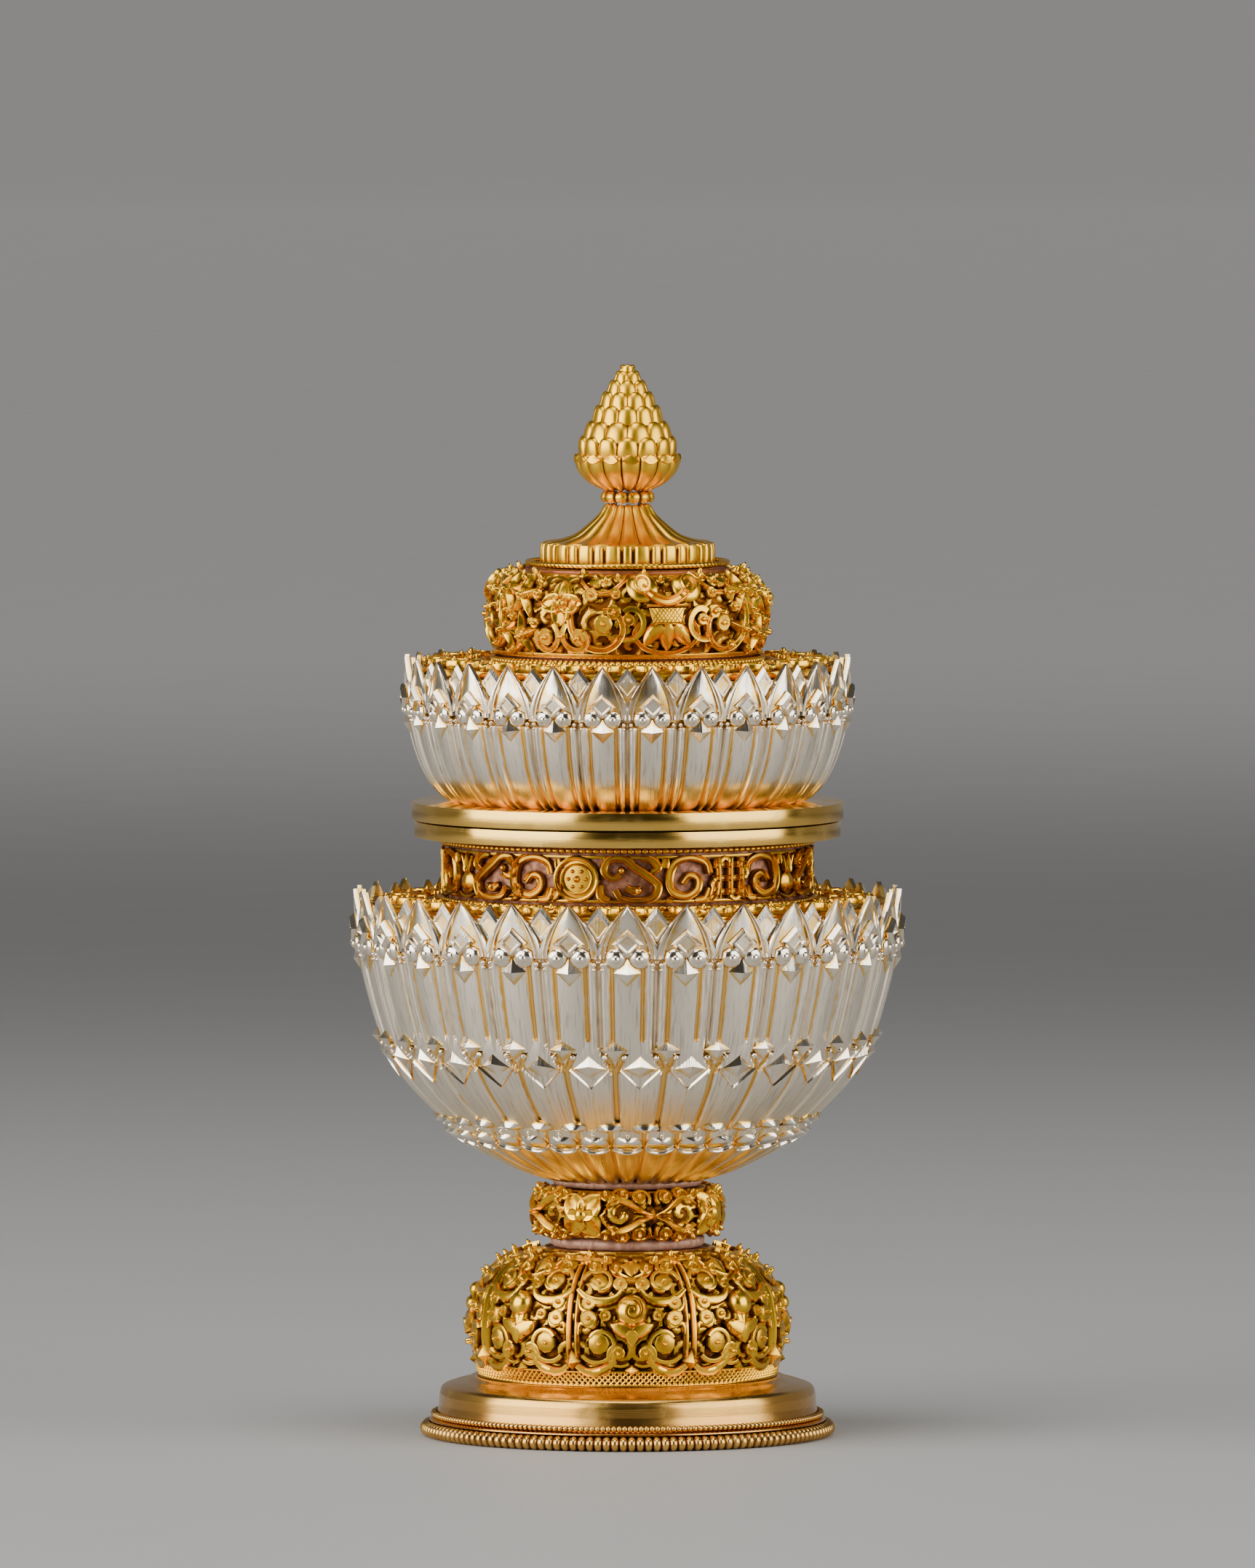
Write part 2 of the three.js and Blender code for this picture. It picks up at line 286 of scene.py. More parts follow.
class Course:
    """An outline turned about the axis: a smooth curve through [radius, height] points, measured along
    its length."""

    def __init__(self, points, smooth=True):
        path = smooth_curve(points, 16) if smooth else np.array(points, float)
        self.radius, self.height = path.T
        step = np.hypot(np.diff(self.radius), np.diff(self.height))
        self.along = np.concatenate([[0], np.cumsum(step)])
        slope = np.gradient(path, self.along, axis=0)
        slope /= np.linalg.norm(slope, axis=1, keepdims=True)
        self.normal = np.stack([slope[:, 1], -slope[:, 0]], 1)
        self.length = self.along[-1]

    def at_height(self, z):
        """Where along the outline a height lies; the outline rises all the way."""
        return np.interp(z, self.height, self.along)

    def points(self, turn, along, lift):
        """The place of each turn, distance along and lift: radius and height plus lift times the
        outline's normal."""
        r = np.interp(along, self.along, self.radius) + lift * np.interp(along, self.along,
                                                                         self.normal[:, 0])
        z = np.interp(along, self.along, self.height) + lift * np.interp(along, self.along,
                                                                         self.normal[:, 1])
        return about_axis(r, turn, z)

    def lay(self, form, turns=(0.0,), along=0.0, narrowing=0.0):
        """Lays a flat form at each turn. u becomes a turn of u over the radius at its origin, or nearer
        its own radius as narrowing goes to 1, so that what stands between two ribs narrows as they
        do."""
        u, v, h = form.corners.T
        v = v + along
        base = np.interp(along, self.along, self.radius)
        own = np.interp(v, self.along, self.radius)
        turn = np.asarray(turns, float)[:, None] + u / (own * narrowing + base * (1 - narrowing))
        points = self.points(turn, v[None, :] + 0 * turn, h[None, :] + 0 * turn)
        count = len(points)
        quads = (form.quads[None] + np.arange(count)[:, None, None] * len(u)).reshape(-1, 4)
        return Form(points.reshape(-1, 3), quads, np.tile(form.proud, count))


def around(count, start=0.0):
    """Equal turns, the first at start degrees from the front."""
    return math.radians(start) + TURN * np.arange(count) / count


def relief_wall(course, count, start, relief, columns, rows, thick=1.0):
    """A wall whose lift at each place is relief(x, t): x runs from -0.5 to 0.5 over each petal, t from
    0 to 1 up."""
    turn = math.radians(start) + TURN * np.arange(count * columns) / (count * columns)
    x = (np.arange(count * columns) / columns + 0.5) % 1 - 0.5
    t = np.linspace(0, 1, rows)
    lift, proud = relief(x[:, None], t[None, :])
    back = np.array([1.0, 0.5, 0.0])
    along = np.concatenate([t, back]) * course.length
    lift = np.concatenate([lift, np.full((len(x), len(back)), -thick)], 1)
    proud = np.concatenate([proud, np.zeros((len(x), len(back)))], 1)
    points = course.points(turn[:, None] + 0 * lift, along[None, :] + 0 * lift, lift)
    return grid_form(points, proud, wrap_u=True, wrap_v=True)


def scroll_ground(course, columns, rows, seeds, repeats, start, lift=0.5, sink=0.5, pitch=2.6, mirror=False,
                  rims=(0.35, 0.35), unshaded_share=0.45):
    """A sheet of winding bands. Each point takes the nearest seed, a (turn in degrees, distance along)
    of one repeat, and is raised where cos(angle about the seed + TURN distance / pitch) is positive,
    and sunk where not."""
    turn = all_turns(columns)
    along = np.linspace(0, course.length, rows)[None, :]
    sector = TURN / repeats
    local = (turn - math.radians(start) + sector / 2) % sector - sector / 2
    local = np.abs(local) if mirror else local
    radius = np.interp(along, course.along, course.radius)
    nearest, winding = np.full((columns, rows), 1e9), np.zeros((columns, rows))
    period = 0 if mirror else 360 / repeats
    for degrees, place in seeds:
        for shift in {0.0, period, -period}:
            u = (local - math.radians(degrees + shift)) * radius
            v = along - place
            distance = np.hypot(u, v)
            wind = np.cos(np.arctan2(v, u) + TURN * distance / pitch + degrees)
            winding = np.where(distance < nearest, wind, winding)
            nearest = np.minimum(nearest, distance)
    raised = step(winding, 0.0, 0.6)
    edge = (along < rims[0]) | (along > course.length - rims[1])
    raised = np.where(edge, 1.0, raised)
    height = -sink + (lift + sink) * raised
    back = np.array([1.0, 0.5, 0.0]) * course.length
    along = np.concatenate([along + 0 * turn, back + 0 * turn], 1)
    height = np.concatenate([height, np.full((columns, 3), -sink - 0.4)], 1)
    # unshaded_share scales how proud the raised bands read, so below 1 the gold shader paints them partly in
    # shade; the sunk parts read as dark hollows.
    proud = np.concatenate([raised * unshaded_share, np.zeros((columns, 3))], 1)
    return grid_form(course.points(turn + 0 * along, along, height), proud, wrap_u=True, wrap_v=True)


def about_axis(radius, turn, height):
    """Points at a radius, a turn from the front and a height."""
    return np.stack([radius * np.sin(turn), -radius * np.cos(turn), height + 0 * turn], -1)


def band(inner, outer, bottom, top, sides=160):
    """A turned ring with a square section."""
    return turned_wall([(inner, bottom), (outer, bottom), (outer, top), (inner, top)], sides)


def turned_wall(outline, sides=192, bevel=0.12):
    """A large turned piece: a closed outline listed anticlockwise, each corner cut back to two close
    points."""
    p = np.array(outline, float)
    before, after = np.roll(p, 1, 0) - p, np.roll(p, -1, 0) - p
    reach_before = np.linalg.norm(before, axis=1, keepdims=True)
    reach_after = np.linalg.norm(after, axis=1, keepdims=True)
    cut_before = p + before / reach_before * np.minimum(bevel, reach_before / 3)
    cut_after = p + after / reach_after * np.minimum(bevel, reach_after / 3)
    rounded = np.stack([cut_before, p * 0.5 + (cut_before + cut_after) * 0.25, cut_after], 1).reshape(-1, 2)
    turn = all_turns(sides)
    radius, height = rounded.T
    return grid_form(about_axis(radius, turn, height), 1.0, wrap_u=True, wrap_v=True)


def beaded_hoop(radius, height, bead, count, squash=1.0, depth=0.55, columns=6, rows=10, twist=0.0):
    """A hoop whose wire swells into beads: its thickness is bead times depth + (1 - depth) |sin| of the
    turn, with twist shifting the swelling round the wire, which lays it as a rope."""
    turn = all_turns(count * columns)
    phi = np.linspace(0, TURN, rows, endpoint=False)[None, :]
    swell = np.abs(np.sin(turn * count / 2 + twist * phi))
    thick = bead * (depth + (1 - depth) * np.sqrt(swell))
    r = radius + thick * np.cos(phi) * squash
    z = height + thick * np.sin(phi)
    return grid_form(about_axis(r, turn, z), swell, wrap_u=True, wrap_v=True)


# ---------------------------------------------------------------- pieces


def add_piece(name, forms, material, body, replaces=(), crease=32):
    """One mesh of the forms, in metres: corners closer than a tenth of a micron are merged, and flat
    edges smoothed."""
    form = joined(forms)
    keys = np.round(form.corners / MERGE).astype(np.int64)
    _, first, same = np.unique(keys, axis=0, return_index=True, return_inverse=True)
    corners = form.corners[first] * MM
    quads = same.reshape(-1)[form.quads]
    tris = np.concatenate([quads[:, [0, 1, 2]], quads[:, [0, 2, 3]]])
    tris = tris[(tris[:, 0] != tris[:, 1]) & (tris[:, 1] != tris[:, 2]) & (tris[:, 2] != tris[:, 0])]
    mesh = bpy.data.meshes.new(name)
    mesh.vertices.add(len(corners))
    mesh.vertices.foreach_set("co", corners.astype(np.float32).ravel())
    mesh.loops.add(tris.size)
    mesh.loops.foreach_set("vertex_index", tris.astype(np.int32).ravel())
    mesh.polygons.add(len(tris))
    mesh.polygons.foreach_set("loop_start", np.arange(0, tris.size, 3, dtype=np.int32))
    mesh.polygons.foreach_set("use_smooth", np.ones(len(tris), bool))
    proud = mesh.attributes.new("proud", "FLOAT", "POINT")
    proud.data.foreach_set("value", form.proud[first].astype(np.float32))
    mesh.update(calc_edges=True)
    mesh.validate()
    mesh.set_sharp_from_angle(angle=math.radians(crease))
    mesh.materials.append(material)
    piece = bpy.data.objects.new(name, mesh)
    bpy.context.scene.collection.objects.link(piece)
    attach(piece, body)
    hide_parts(*replaces)
    return piece


def dress(material, *nodes):
    """Gives CAD nodes their material."""
    for node in nodes:
        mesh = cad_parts[node].data
        mesh.materials.clear()
        mesh.materials.append(material)


# ---------------------------------------------------------------- shader maths


class Wire:
    """A value socket that adds Math nodes as it is used in an expression."""

    def __init__(self, shader, socket):
        self.shader = shader
        self.socket = socket

    def math(self, operation, *values):
        return self.shader.node("ShaderNodeMath", {"operation": operation}, dict(enumerate([self, *values])))

    def reflected(self, operation, value):
        return self.shader.node("ShaderNodeMath", {"operation": operation}, {0: value, 1: self})

    def __add__(self, other):
        return self.math("ADD", other)

    def __sub__(self, other):
        return self.math("SUBTRACT", other)

    def __mul__(self, other):
        return self.math("MULTIPLY", other)

    def __truediv__(self, other):
        return self.math("DIVIDE", other)

    def __pow__(self, other):
        return self.math("POWER", other)

    def __rsub__(self, other):
        return self.reflected("SUBTRACT", other)

    def __rtruediv__(self, other):
        return self.reflected("DIVIDE", other)

    __radd__ = __add__
    __rmul__ = __mul__

    def ramp(self, start, end):
        """0 at start and 1 at end, smoothly, whichever is larger."""
        settings = {"interpolation_type": "SMOOTHSTEP"}
        return self.shader.node("ShaderNodeMapRange", settings, {0: self, 1: start, 2: end})


class Shader:
    """One material's nodes, made in expressions."""

    def __init__(self, name):
        self.material = bpy.data.materials.new(name)
        self.material.use_nodes = True
        self.tree = self.material.node_tree
        self.surface = self.tree.nodes["Principled BSDF"]

    def node(self, kind, settings=None, inputs=None, output=0):
        """Adds a node: its settings first, then its sockets' values or links."""
        made = self.tree.nodes.new(kind)
        for key, value in (settings or {}).items():
            setattr(made, key, value)
        for key, value in (inputs or {}).items():
            self.feed(made.inputs[key], value)
        return Wire(self, made.outputs[output])

    def feed(self, socket, value):
        if isinstance(value, Wire):
            self.tree.links.new(value.socket, socket)
        elif hasattr(value, "__len__") and len(value) == 3 and socket.type == "RGBA":
            socket.default_value = (*value, 1)
        else:
            socket.default_value = value

    def set(self, **inputs):
        for key, value in inputs.items():
            self.feed(self.surface.inputs[key.replace("_", " ")], value)

    def mix(self, factor, a, b):
        """Colour a where factor is 0 and b where it is 1."""
        inputs = {"Factor": factor, 6: a, 7: b}
        return self.node("ShaderNodeMix", {"data_type": "RGBA"}, inputs, 2)

    def place(self):
        return self.node("ShaderNodeTexCoord", output=3)

    def split(self, vector):
        made = self.tree.nodes.new("ShaderNodeSeparateXYZ")
        self.feed(made.inputs[0], vector)
        return [Wire(self, made.outputs[i]) for i in range(3)]

    def vector(self, x, y, z):
        return self.node("ShaderNodeCombineXYZ", inputs={0: x, 1: y, 2: z})

    def noise(self, vector, scale, detail=3.0, roughness=0.55):
        inputs = {"Vector": vector, "Scale": scale, "Detail": detail, "Roughness": roughness}
        return self.node("ShaderNodeTexNoise", inputs=inputs)

    def proud(self):
        return self.node("ShaderNodeAttribute", {"attribute_name": "proud"}, output=2)

    def bump(self, height, distance, strength=1.0):
        inputs = {"Height": height, "Distance": distance, "Strength": strength}
        self.feed(self.surface.inputs["Normal"], self.node("ShaderNodeBump", inputs=inputs))

    def upright_lines(self, pitch, stretch=14.0):
        """Lines that run up the vessel, pitch apart in metres: noise on the direction from the axis."""
        x, y, z = self.split(self.place())
        radius = (x * x + y * y) ** 0.5
        per_radius = 0.04 / (radius + 0.0001)
        return self.noise(self.vector(x * per_radius, y * per_radius, z / stretch), 1 / pitch, 2.0)

    def level_lines(self, pitch):
        """Lines that run round the vessel, as a lathe leaves them: noise on the radius and height."""
        x, y, z = self.split(self.place())
        radius = (x * x + y * y) ** 0.5
        return self.noise(self.vector(radius, z, (x + y) / 40), 1 / pitch, 3.0)


def silver_metal(name, c, roughness, low_gold=0.0, high_gold=0.0, line_depth=0.00006, line_tint=0.6,
                 gilt_share=0.8):
    """Silver with gilding in its hollows, upright chasing lines, and gilding that takes over from one
    height down."""
    s = Shader(name)
    proud = s.proud()
    patches = s.noise(s.place(), 420, 4)
    lines = s.upright_lines(0.00034)
    hollow = (proud + (patches - 0.5) * 1.0).ramp(0.55, 0.2)
    tarnish = s.noise(s.place(), 160, 3).ramp(0.45, 0.75) * 0.25
    base = s.mix(tarnish, c.silver, (0.7, 0.6, 0.48))
    base = s.mix(lines.ramp(0.5, 0.72) * line_tint, base, (0.4, 0.33, 0.25))
    tone = s.mix(hollow * 0.92, base, c.groove)
    if high_gold:
        height = s.split(s.place())[2]
        gilt = (height + (patches - 0.5) * 0.004).ramp(high_gold * MM, low_gold * MM)
        tone = s.mix(gilt * gilt_share, tone, (0.96, 0.66, 0.17))
    s.set(Base_Color=tone, Metallic=1.0, Roughness=roughness + lines * 0.16 + hollow * 0.06)
    s.bump(lines + patches * 0.6, line_depth)
    return s.material


def gold_metal(name, c, roughness=0.19, line_depth=0.00002, darker=0.0):
    """Polished gilding that turns dark red-brown in the hollows, partly red copper where it is worn and
    partly painted shade, with fine scratches of the chasing tool.
    """
    s = Shader(name)
    patches = s.noise(s.place(), 520, 4)
    broad = s.noise(s.place(), 110, 2)
    hollow = (s.proud() + (patches - 0.5) * 0.45).ramp(0.62, 0.12)
    tone = s.mix(broad.ramp(0.35, 0.7) * 0.5, c.gold, (0.8, 0.4, 0.018))
    scratches = s.noise(s.vector(*[axis * rate for axis, rate in zip(s.split(s.place()), (1, 1, 0.25))]),
                        2600, 2)
    # Where a piece is not proud the gilding turns dark red-brown: partly red copper where it is worn, partly
    # painted shade.
    tone = s.mix(hollow, tone, c.dark_copper_and_shade)
    # darker mixes the whole surface towards the dark red-brown: painted shade.
    tone = s.mix(darker, tone, c.dark_copper_and_shade) if darker else tone
    s.set(Base_Color=tone, Metallic=1.0, Roughness=roughness + patches * 0.12 + hollow * 0.25)
    s.bump(scratches * 0.5 + patches, line_depth)
    return s.material


def brass_metal(name, c, pink_from=0.0, pink_to=1.0, roughness=0.15):
    """Brushed gilding with the lathe's lines, turning pinkish from one height down to another."""
    s = Shader(name)
    lines = s.level_lines(0.00016)
    patches = s.noise(s.place(), 130, 4)
    height = s.split(s.place())[2]
    pink = (height + (patches - 0.5) * 0.006).ramp(pink_from * MM, pink_to * MM)
    tone = s.mix(patches.ramp(0.4, 0.7) * 0.5, c.brass, (0.8, 0.54, 0.14))
    tone = s.mix(pink * 0.75, tone, (0.42, 0.165, 0.045))
    # Darker red-brown where a piece is not proud, as between the beads of a hoop: partly copper in the gaps,
    # partly painted shade.
    tone = s.mix(s.proud().ramp(0.75, 0.2), tone, (0.3, 0.12, 0.05))
    s.set(Base_Color=tone, Metallic=1.0, Roughness=roughness + lines * 0.14 + patches.ramp(0.45, 0.8) * 0.2)
    s.bump(lines, 0.000012)
    return s.material


def bare_metal(name, tone, dark, roughness, lump=0.0001, metallic=0.9):
    """Bare hammered metal, lumpy and dull, darker in its hollows."""
    s = Shader(name)
    patches = s.noise(s.place(), 700, 4)
    lumps = s.noise(s.place(), 260, 3)
    s.set(Base_Color=s.mix(patches.ramp(0.35, 0.65), dark, tone), Metallic=metallic)
    s.set(Roughness=roughness + lumps * 0.15)
    s.bump(lumps + patches * 0.4, lump)
    return s.material


def floor_surface(name, c):
    """Pale grey paper that darkens further back as painted shade, with its own faint glow as painted light
    where it rises behind the vessel.
    """
    s = Shader(name)
    place = s.place()
    grain = s.noise(place, 35, 4)
    x, y, z = s.split(place)
    # lit: where the backdrop glows, as painted light.
    lit = y.ramp(0.9, 2.7) * (z.ramp(0.0, 0.25) * 0.12 + 0.88)
    paper = s.mix(grain * 0.06, c.floor, (0.45, 0.45, 0.45))
    # The paper darkens from 0.4 m to 1.9 m back as painted shade.
    s.set(Base_Color=s.mix(y.ramp(0.4, 1.9), paper, (0.13, 0.128, 0.124)), Roughness=0.55 + grain * 0.1,
          Emission_Color=s.mix(lit, (0.0, 0.0, 0.0), (0.24, 0.235, 0.227)), Emission_Strength=1.0)
    return s.material


def finishes(context):
    """The vessel's materials, made once and kept by name."""
    c = context.scene.vessel_colours
    makers = {
        "silver_panels": lambda n: silver_metal(n, c, 0.24, 48.0, 64.0, gilt_share=0.5),
        "silver_lower": lambda n: silver_metal(n, c, 0.22, 46.0, 60.0, gilt_share=0.6),
        "silver_lid_wall": lambda n: silver_metal(n, c, 0.22, 110.5, 116.0),
        "silver_bright": lambda n: silver_metal(n, c, 0.09, line_depth=0.00002, line_tint=0.12),
        "silver_lining": lambda n: silver_metal(n, c, 0.2, 10.0, 20.0, line_tint=0.2),
        "gold_scrolls": lambda n: gold_metal(n, c),
        # The neck's gilding is darkened by 0.35 towards the dark red-brown as painted shade, where it sits
        # between the discs.
        "gold_shaded": lambda n: gold_metal(n, c, darker=0.35),
        "gold_finial": lambda n: gold_metal(n, c, 0.26),
        "brass_plinth": lambda n: brass_metal(n, c, 15.0, 0.5),
        "brass_beads": lambda n: brass_metal(n, c, 4.0, -4.0),
        "brass_discs": lambda n: brass_metal(n, c, 100.0, 90.0, 0.09),
        "red_copper": lambda n: bare_metal(n, c.copper, (0.2, 0.07, 0.035), 0.42),
        # The neck lining's copper, darkened as painted shade for where it sits behind the pierced band.
        "shaded_copper": lambda n: bare_metal(n, (0.42, 0.2, 0.12), (0.16, 0.06, 0.03), 0.45, 0.0001, 0.7),
        "solder": lambda n: bare_metal(n, c.solder, (0.42, 0.22, 0.14), 0.45, 0.0002, 0.35),
        "grey_steel": lambda n: bare_metal(n, c.steel, (0.35, 0.35, 0.34), 0.3, 0.00002, 1.0),
        "studio_floor": lambda n: floor_surface(n, c),
    }
    return {name: bpy.data.materials.get(name) or make(name) for name, make in makers.items()}


# ---------------------------------------------------------------- ornaments


def stud(radius=1.3, peg=0.42, height=0.75):
    """A round washer with a pointed peg in its middle."""
    rim = height
    return turned_form([
        (0, -0.4), (radius, -0.4), (radius, rim * 0.8), (radius * 0.82, rim), (peg * 1.2, rim * 0.95),
        (peg * 0.8, rim + 0.65), (0, rim + 1.05),
    ], 9)


def studs(*rows):
    """Several studs, each from its radius, its peg's radius, its height and its place."""
    return [stud(radius, peg, height).moved(u, v) for radius, peg, height, u, v in rows]


def bead(radius, height=None):
    """A round bead that sinks a little into what it sits on."""
    tall = height or radius
    angles = np.linspace(0, math.pi / 2, 5)[1:-1]
    dome = [(radius * math.cos(a), tall * math.sin(a)) for a in angles]
    return turned_form([(0, -0.4), (radius, -0.3), (radius, 0)] + dome + [(0, tall)], 10)


def crest(width, height, top, flat=0.0, peak=0.0):
    """A cut diamond: a rhombus with sloping sides, pointed or with a sunk flat inside a raised edge;
    peak is how far above its middle it comes to a point."""
    outline = [(width / 2, 0), (0, height / 2), (-width / 2, 0), (0, -height / 2)]
    if flat:
        levels = [(0, -0.4), (1, -0.4), (1, 0.25), (0.74, top), (0.6, top), (0.45, flat), (0, flat)]
    else:
        levels = [(0, -0.4), (1, -0.4), (1, 0.25), (0, top)]
    return cut_form(outline, levels, (0, peak))


def spiral(start, centre, sweep, end_radius, steps=18):
    """A curl that starts at a point and winds about a centre by sweep, its radius shrinking evenly to
    the end."""
    start, centre = np.array(start, float), np.array(centre, float)
    arm = start - centre
    angle = math.atan2(arm[1], arm[0]) + np.linspace(0, sweep, steps)
    radius = np.linspace(np.linalg.norm(arm), end_radius, steps)
    return centre + np.stack([radius * np.cos(angle), radius * np.sin(angle)], 1)


def curl(start, centre, half_turns, end_radius, steps, width, height, section=ROUND):
    """A strip wound in a spiral, as far as a count of half turns."""
    return stroke_form(spiral(start, centre, half_turns * math.pi, end_radius, steps), width, height,
                       section)


def scroll(points, width=1.5, height=1.0, section=ROUND, start=0.5, end=0.5):
    """A scroll through a few points, swelling in the middle."""
    path = smooth_curve(points, 6)
    return stroke_form(path, tapered(len(path), start, end, width), height, section)


def petal(length, width, height, section=FLAT, belly=2.0):
    """A petal from its base at the origin up to a point: its half width falls as 1 - s to the power
    belly."""
    s = np.linspace(0, 1, 10)
    swell = np.sqrt(np.clip(s * 4 + 0.25, 0, 1))
    path = np.stack([0 * s, s * length], 1)
    return stroke_form(path, width * swell * (1 - 0.97 * s**belly), height * (1 - 0.25 * s), section)


def rosette(radius, petals=4, height=1.1, start=0.0):
    """A flower of rounded petals about a hatched boss."""
    leaf = petal(radius, radius * 0.98, height, CHANNEL, 5.0)
    leaves = [leaf.rotated(math.radians(start) + TURN * i / petals) for i in range(petals)]
    heart = bead(radius * 0.3, height * 1.45)
    return joined(leaves + [heart])


def ring_form(radius, width, height, section=FLAT):
    """A flat ring: a section carried round a circle."""
    phi = np.linspace(0, -TURN, 28)
    return stroke_form(np.stack([radius * np.cos(phi), radius * np.sin(phi)], 1), width, height, section)


# ---------------------------------------------------------------- lotus tiers


def step(x, edge, soft):
    """0 below the edge and 1 above it, over a soft width."""
    return np.clip((x - edge) / soft + 0.5, 0, 1)


def plain_relief(x, t):
    """A smooth wall."""
    flat = 0 * x + 0 * t
    return flat, 1 + flat


def tall_petal_relief(rib, top):
    """A tall petal: a flat panel, then a groove, a rounded rib, and a thin groove shared with the next
    petal. Above the share top of its height it is plain, behind the leaf tips."""

    def relief(x, t):
        side = np.abs(x) + 0 * t
        panel = 1 - step(side, 0.238, 0.03)
        ribs = np.sqrt(np.clip(1 - ((side - 0.387) / 0.08) ** 2, 0, 1))
        bulge = 0.62 + 0.25 * (1 - (side / 0.25) ** 2)
        shared = side > 0.475
        lift = np.where(shared, rib * 0.45, rib * (bulge * panel + ribs))
        plain = step(t, top, 0.03)
        proud = np.clip(panel * 0.85 + ribs * 1.15 + (side > 0.44), 0, 1)
        return lift * (1 - plain) - 0.3 * plain, proud * (1 - plain) + 0.3 * plain

    return relief


def forked_petal_relief(rib):
    """A middle petal: two sloping facets, with a groove at its edge that forks near the top round a
    small diamond."""

    def relief(x, t):
        side = np.abs(x) + 0 * t
        fork = 0.5 - 0.3 * np.clip((t - 0.7) / 0.3, 0, 1)
        edge = np.abs(side - fork)
        groove = 1 - step(edge, 0.06, 0.03)
        seam = 0.5 * (1 - step(side, 0.016, 0.02)) * (t < 0.6)
        lift = rib * (1 - groove) * (0.75 + 0.35 * (1 - side * 2)) - 0.1 * seam
        return lift, np.clip(1 - groove - seam * 1.6, 0, 1)

    return relief


def flute_relief(rib):
    """A broad flute: a shallow rounded ridge between two grooves."""

    def relief(x, t):
        side = np.abs(x) + 0 * t
        ridge = np.sqrt(np.clip(1 - (side / 0.44) ** 2, 0, 1))
        return rib * ridge, np.clip(ridge * 1.6, 0, 1)

    return relief


def leaf_tip(length, width):
    """A pointed leaf with a raised double rim, as a strip whose half width is W (1 - s to the power
    1.6)."""
    s = np.linspace(0, 1, 18)
    path = np.stack([0 * s, s * length], 1)
    half = width * (1 - s**1.6)
    rim = [(1, -0.5), (1, 0.6), (0.95, 1), (0.87, 1), (0.82, 0.35), (0.79, 0.3), (0.75, 0.75), (0.7, 0.75)]
    section = symmetric(rim + [(0.65, 0.2), (0.35, 0.45), (0, 0.6)], -0.7)
    return stroke_form(path, np.maximum(half, 0.02), 0.8 - 0.3 * s, section)


def bead_boss(radius):
    """A half-round boss with a small bead on its crown."""
    return joined([bead(radius, radius * 0.5), bead(radius * 0.42, radius * 0.33).moved(h=radius * 0.36)])


def lotus_crown(name, body, wall, count, start, levels, materials):
    """The crown of a lotus tier: leaf tips with smaller ones between them, diamonds over and under
    pairs of bosses. levels holds the heights of the bosses and of the leaf tips, and the petal's
    scale."""
    beads_z, tips_z, scale = levels
    turns = around(count, start)
    between = around(count, start + 180 / count)
    beads_at = wall.at_height(beads_z)
    length = wall.at_height(tips_z) - beads_at
    bright = materials["silver_bright"]
    leaf = leaf_tip(length, 11.0 * scale).moved(h=0.1)
    inner = crest(5.4 * scale, 6.8 * scale, 1.0, 0.5).moved(v=length - 3.9 * scale, h=-1.0)
    upper = crest(5.4 * scale, 5.2 * scale, 1.15, 0.5).moved(v=2.5 * scale, h=0.5)
    lower = crest(4.6 * scale, 5.0 * scale, 1.25).moved(v=-2.4 * scale, h=0.55)
    boss = bead_boss(1.82 * scale).moved(u=1.98 * scale, h=0.62)
    small = [bead(0.5 * scale, 0.75), bead(0.42 * scale, 0.7).moved(v=-0.85 * scale)]
    rib_beads = [f.moved(u=x * scale, v=-1.0 * scale, h=0.5) for f in small for x in (-0.7, 0.7)]
    for part, forms, places, crease in (
        ("leaf_tips", [leaf], turns, 24),
        ("inner_tips", [inner], between, 18),
        ("diamonds", [upper, lower], turns, 18),
        ("bosses", both_sides([boss]), turns, 50),
        ("rib_beads", rib_beads, between, 60),
    ):
        laid = [wall.lay(f, places, beads_at) for f in forms]
        add_piece(f"{name}_{part}", laid, bright, body, crease=crease)


# ---------------------------------------------------------------- operators


class VESSEL_OT_foot(bpy.types.Operator):
    """Make the plinth with its two beaded hoops and the sole"""

    bl_idname = "vessel.foot"
    bl_label = "Foot and plinth"
    bl_options = {"REGISTER", "UNDO"}

    def execute(self, context):
        sizes = context.scene.vessel_sizes
        m = finishes(context)
        ledge, top = low("plinth"), high("plinth")
        plinth = [(25.6, ledge), (34.2, ledge), (34.2, ledge + 0.35), (32.9, 3.3), (32.75, 4.4),
                  (32.5, 5.4), (32.45, 7.3), (32.1, 8.3), (31.6, 8.7), (29.6, 9.35), (27.8, 9.75),
                  (26.9, top - 0.05), (26.2, top), (25.6, top)]
        ring_z = high("foot_bead_ring") / 2
        wire_z = middle_height("foot_bead_wire")
        add_piece("turned_plinth", [turned_wall(plinth, 224, 0.25)], m["brass_plinth"], "vessel",
                  ["plinth"])
        ring = beaded_hoop(34.55, ring_z, 1.26, sizes.foot_beads, 1.02, 0.6, 6, 12)
        add_piece("bead_ring", [ring], m["brass_beads"], "vessel", ["foot_bead_ring"], 60)
        wire = beaded_hoop(33.45, wire_z, 0.52, sizes.foot_pearls, 1.0, 0.5, 6, 8)
        add_piece("pearl_wire", [wire], m["brass_beads"], "vessel", ["foot_bead_wire"], 60)
        edge, thick = reach("sole_plate"), high("sole_plate")
        sole = [(0, 0.0), (11.6, 0.0), (12.0, 0.25), (12.4, 0.0), (27.4, 0.0), (27.8, 0.25), (28.2, 0.0),
                (edge - 0.2, 0.0), (edge, 0.2), (edge, thick - 0.2), (edge - 0.2, thick), (0, thick)]
        add_piece("sole_disc", [turned_form(sole, 160)], m["red_copper"], "vessel", ["sole_plate"])
        return {"FINISHED"}


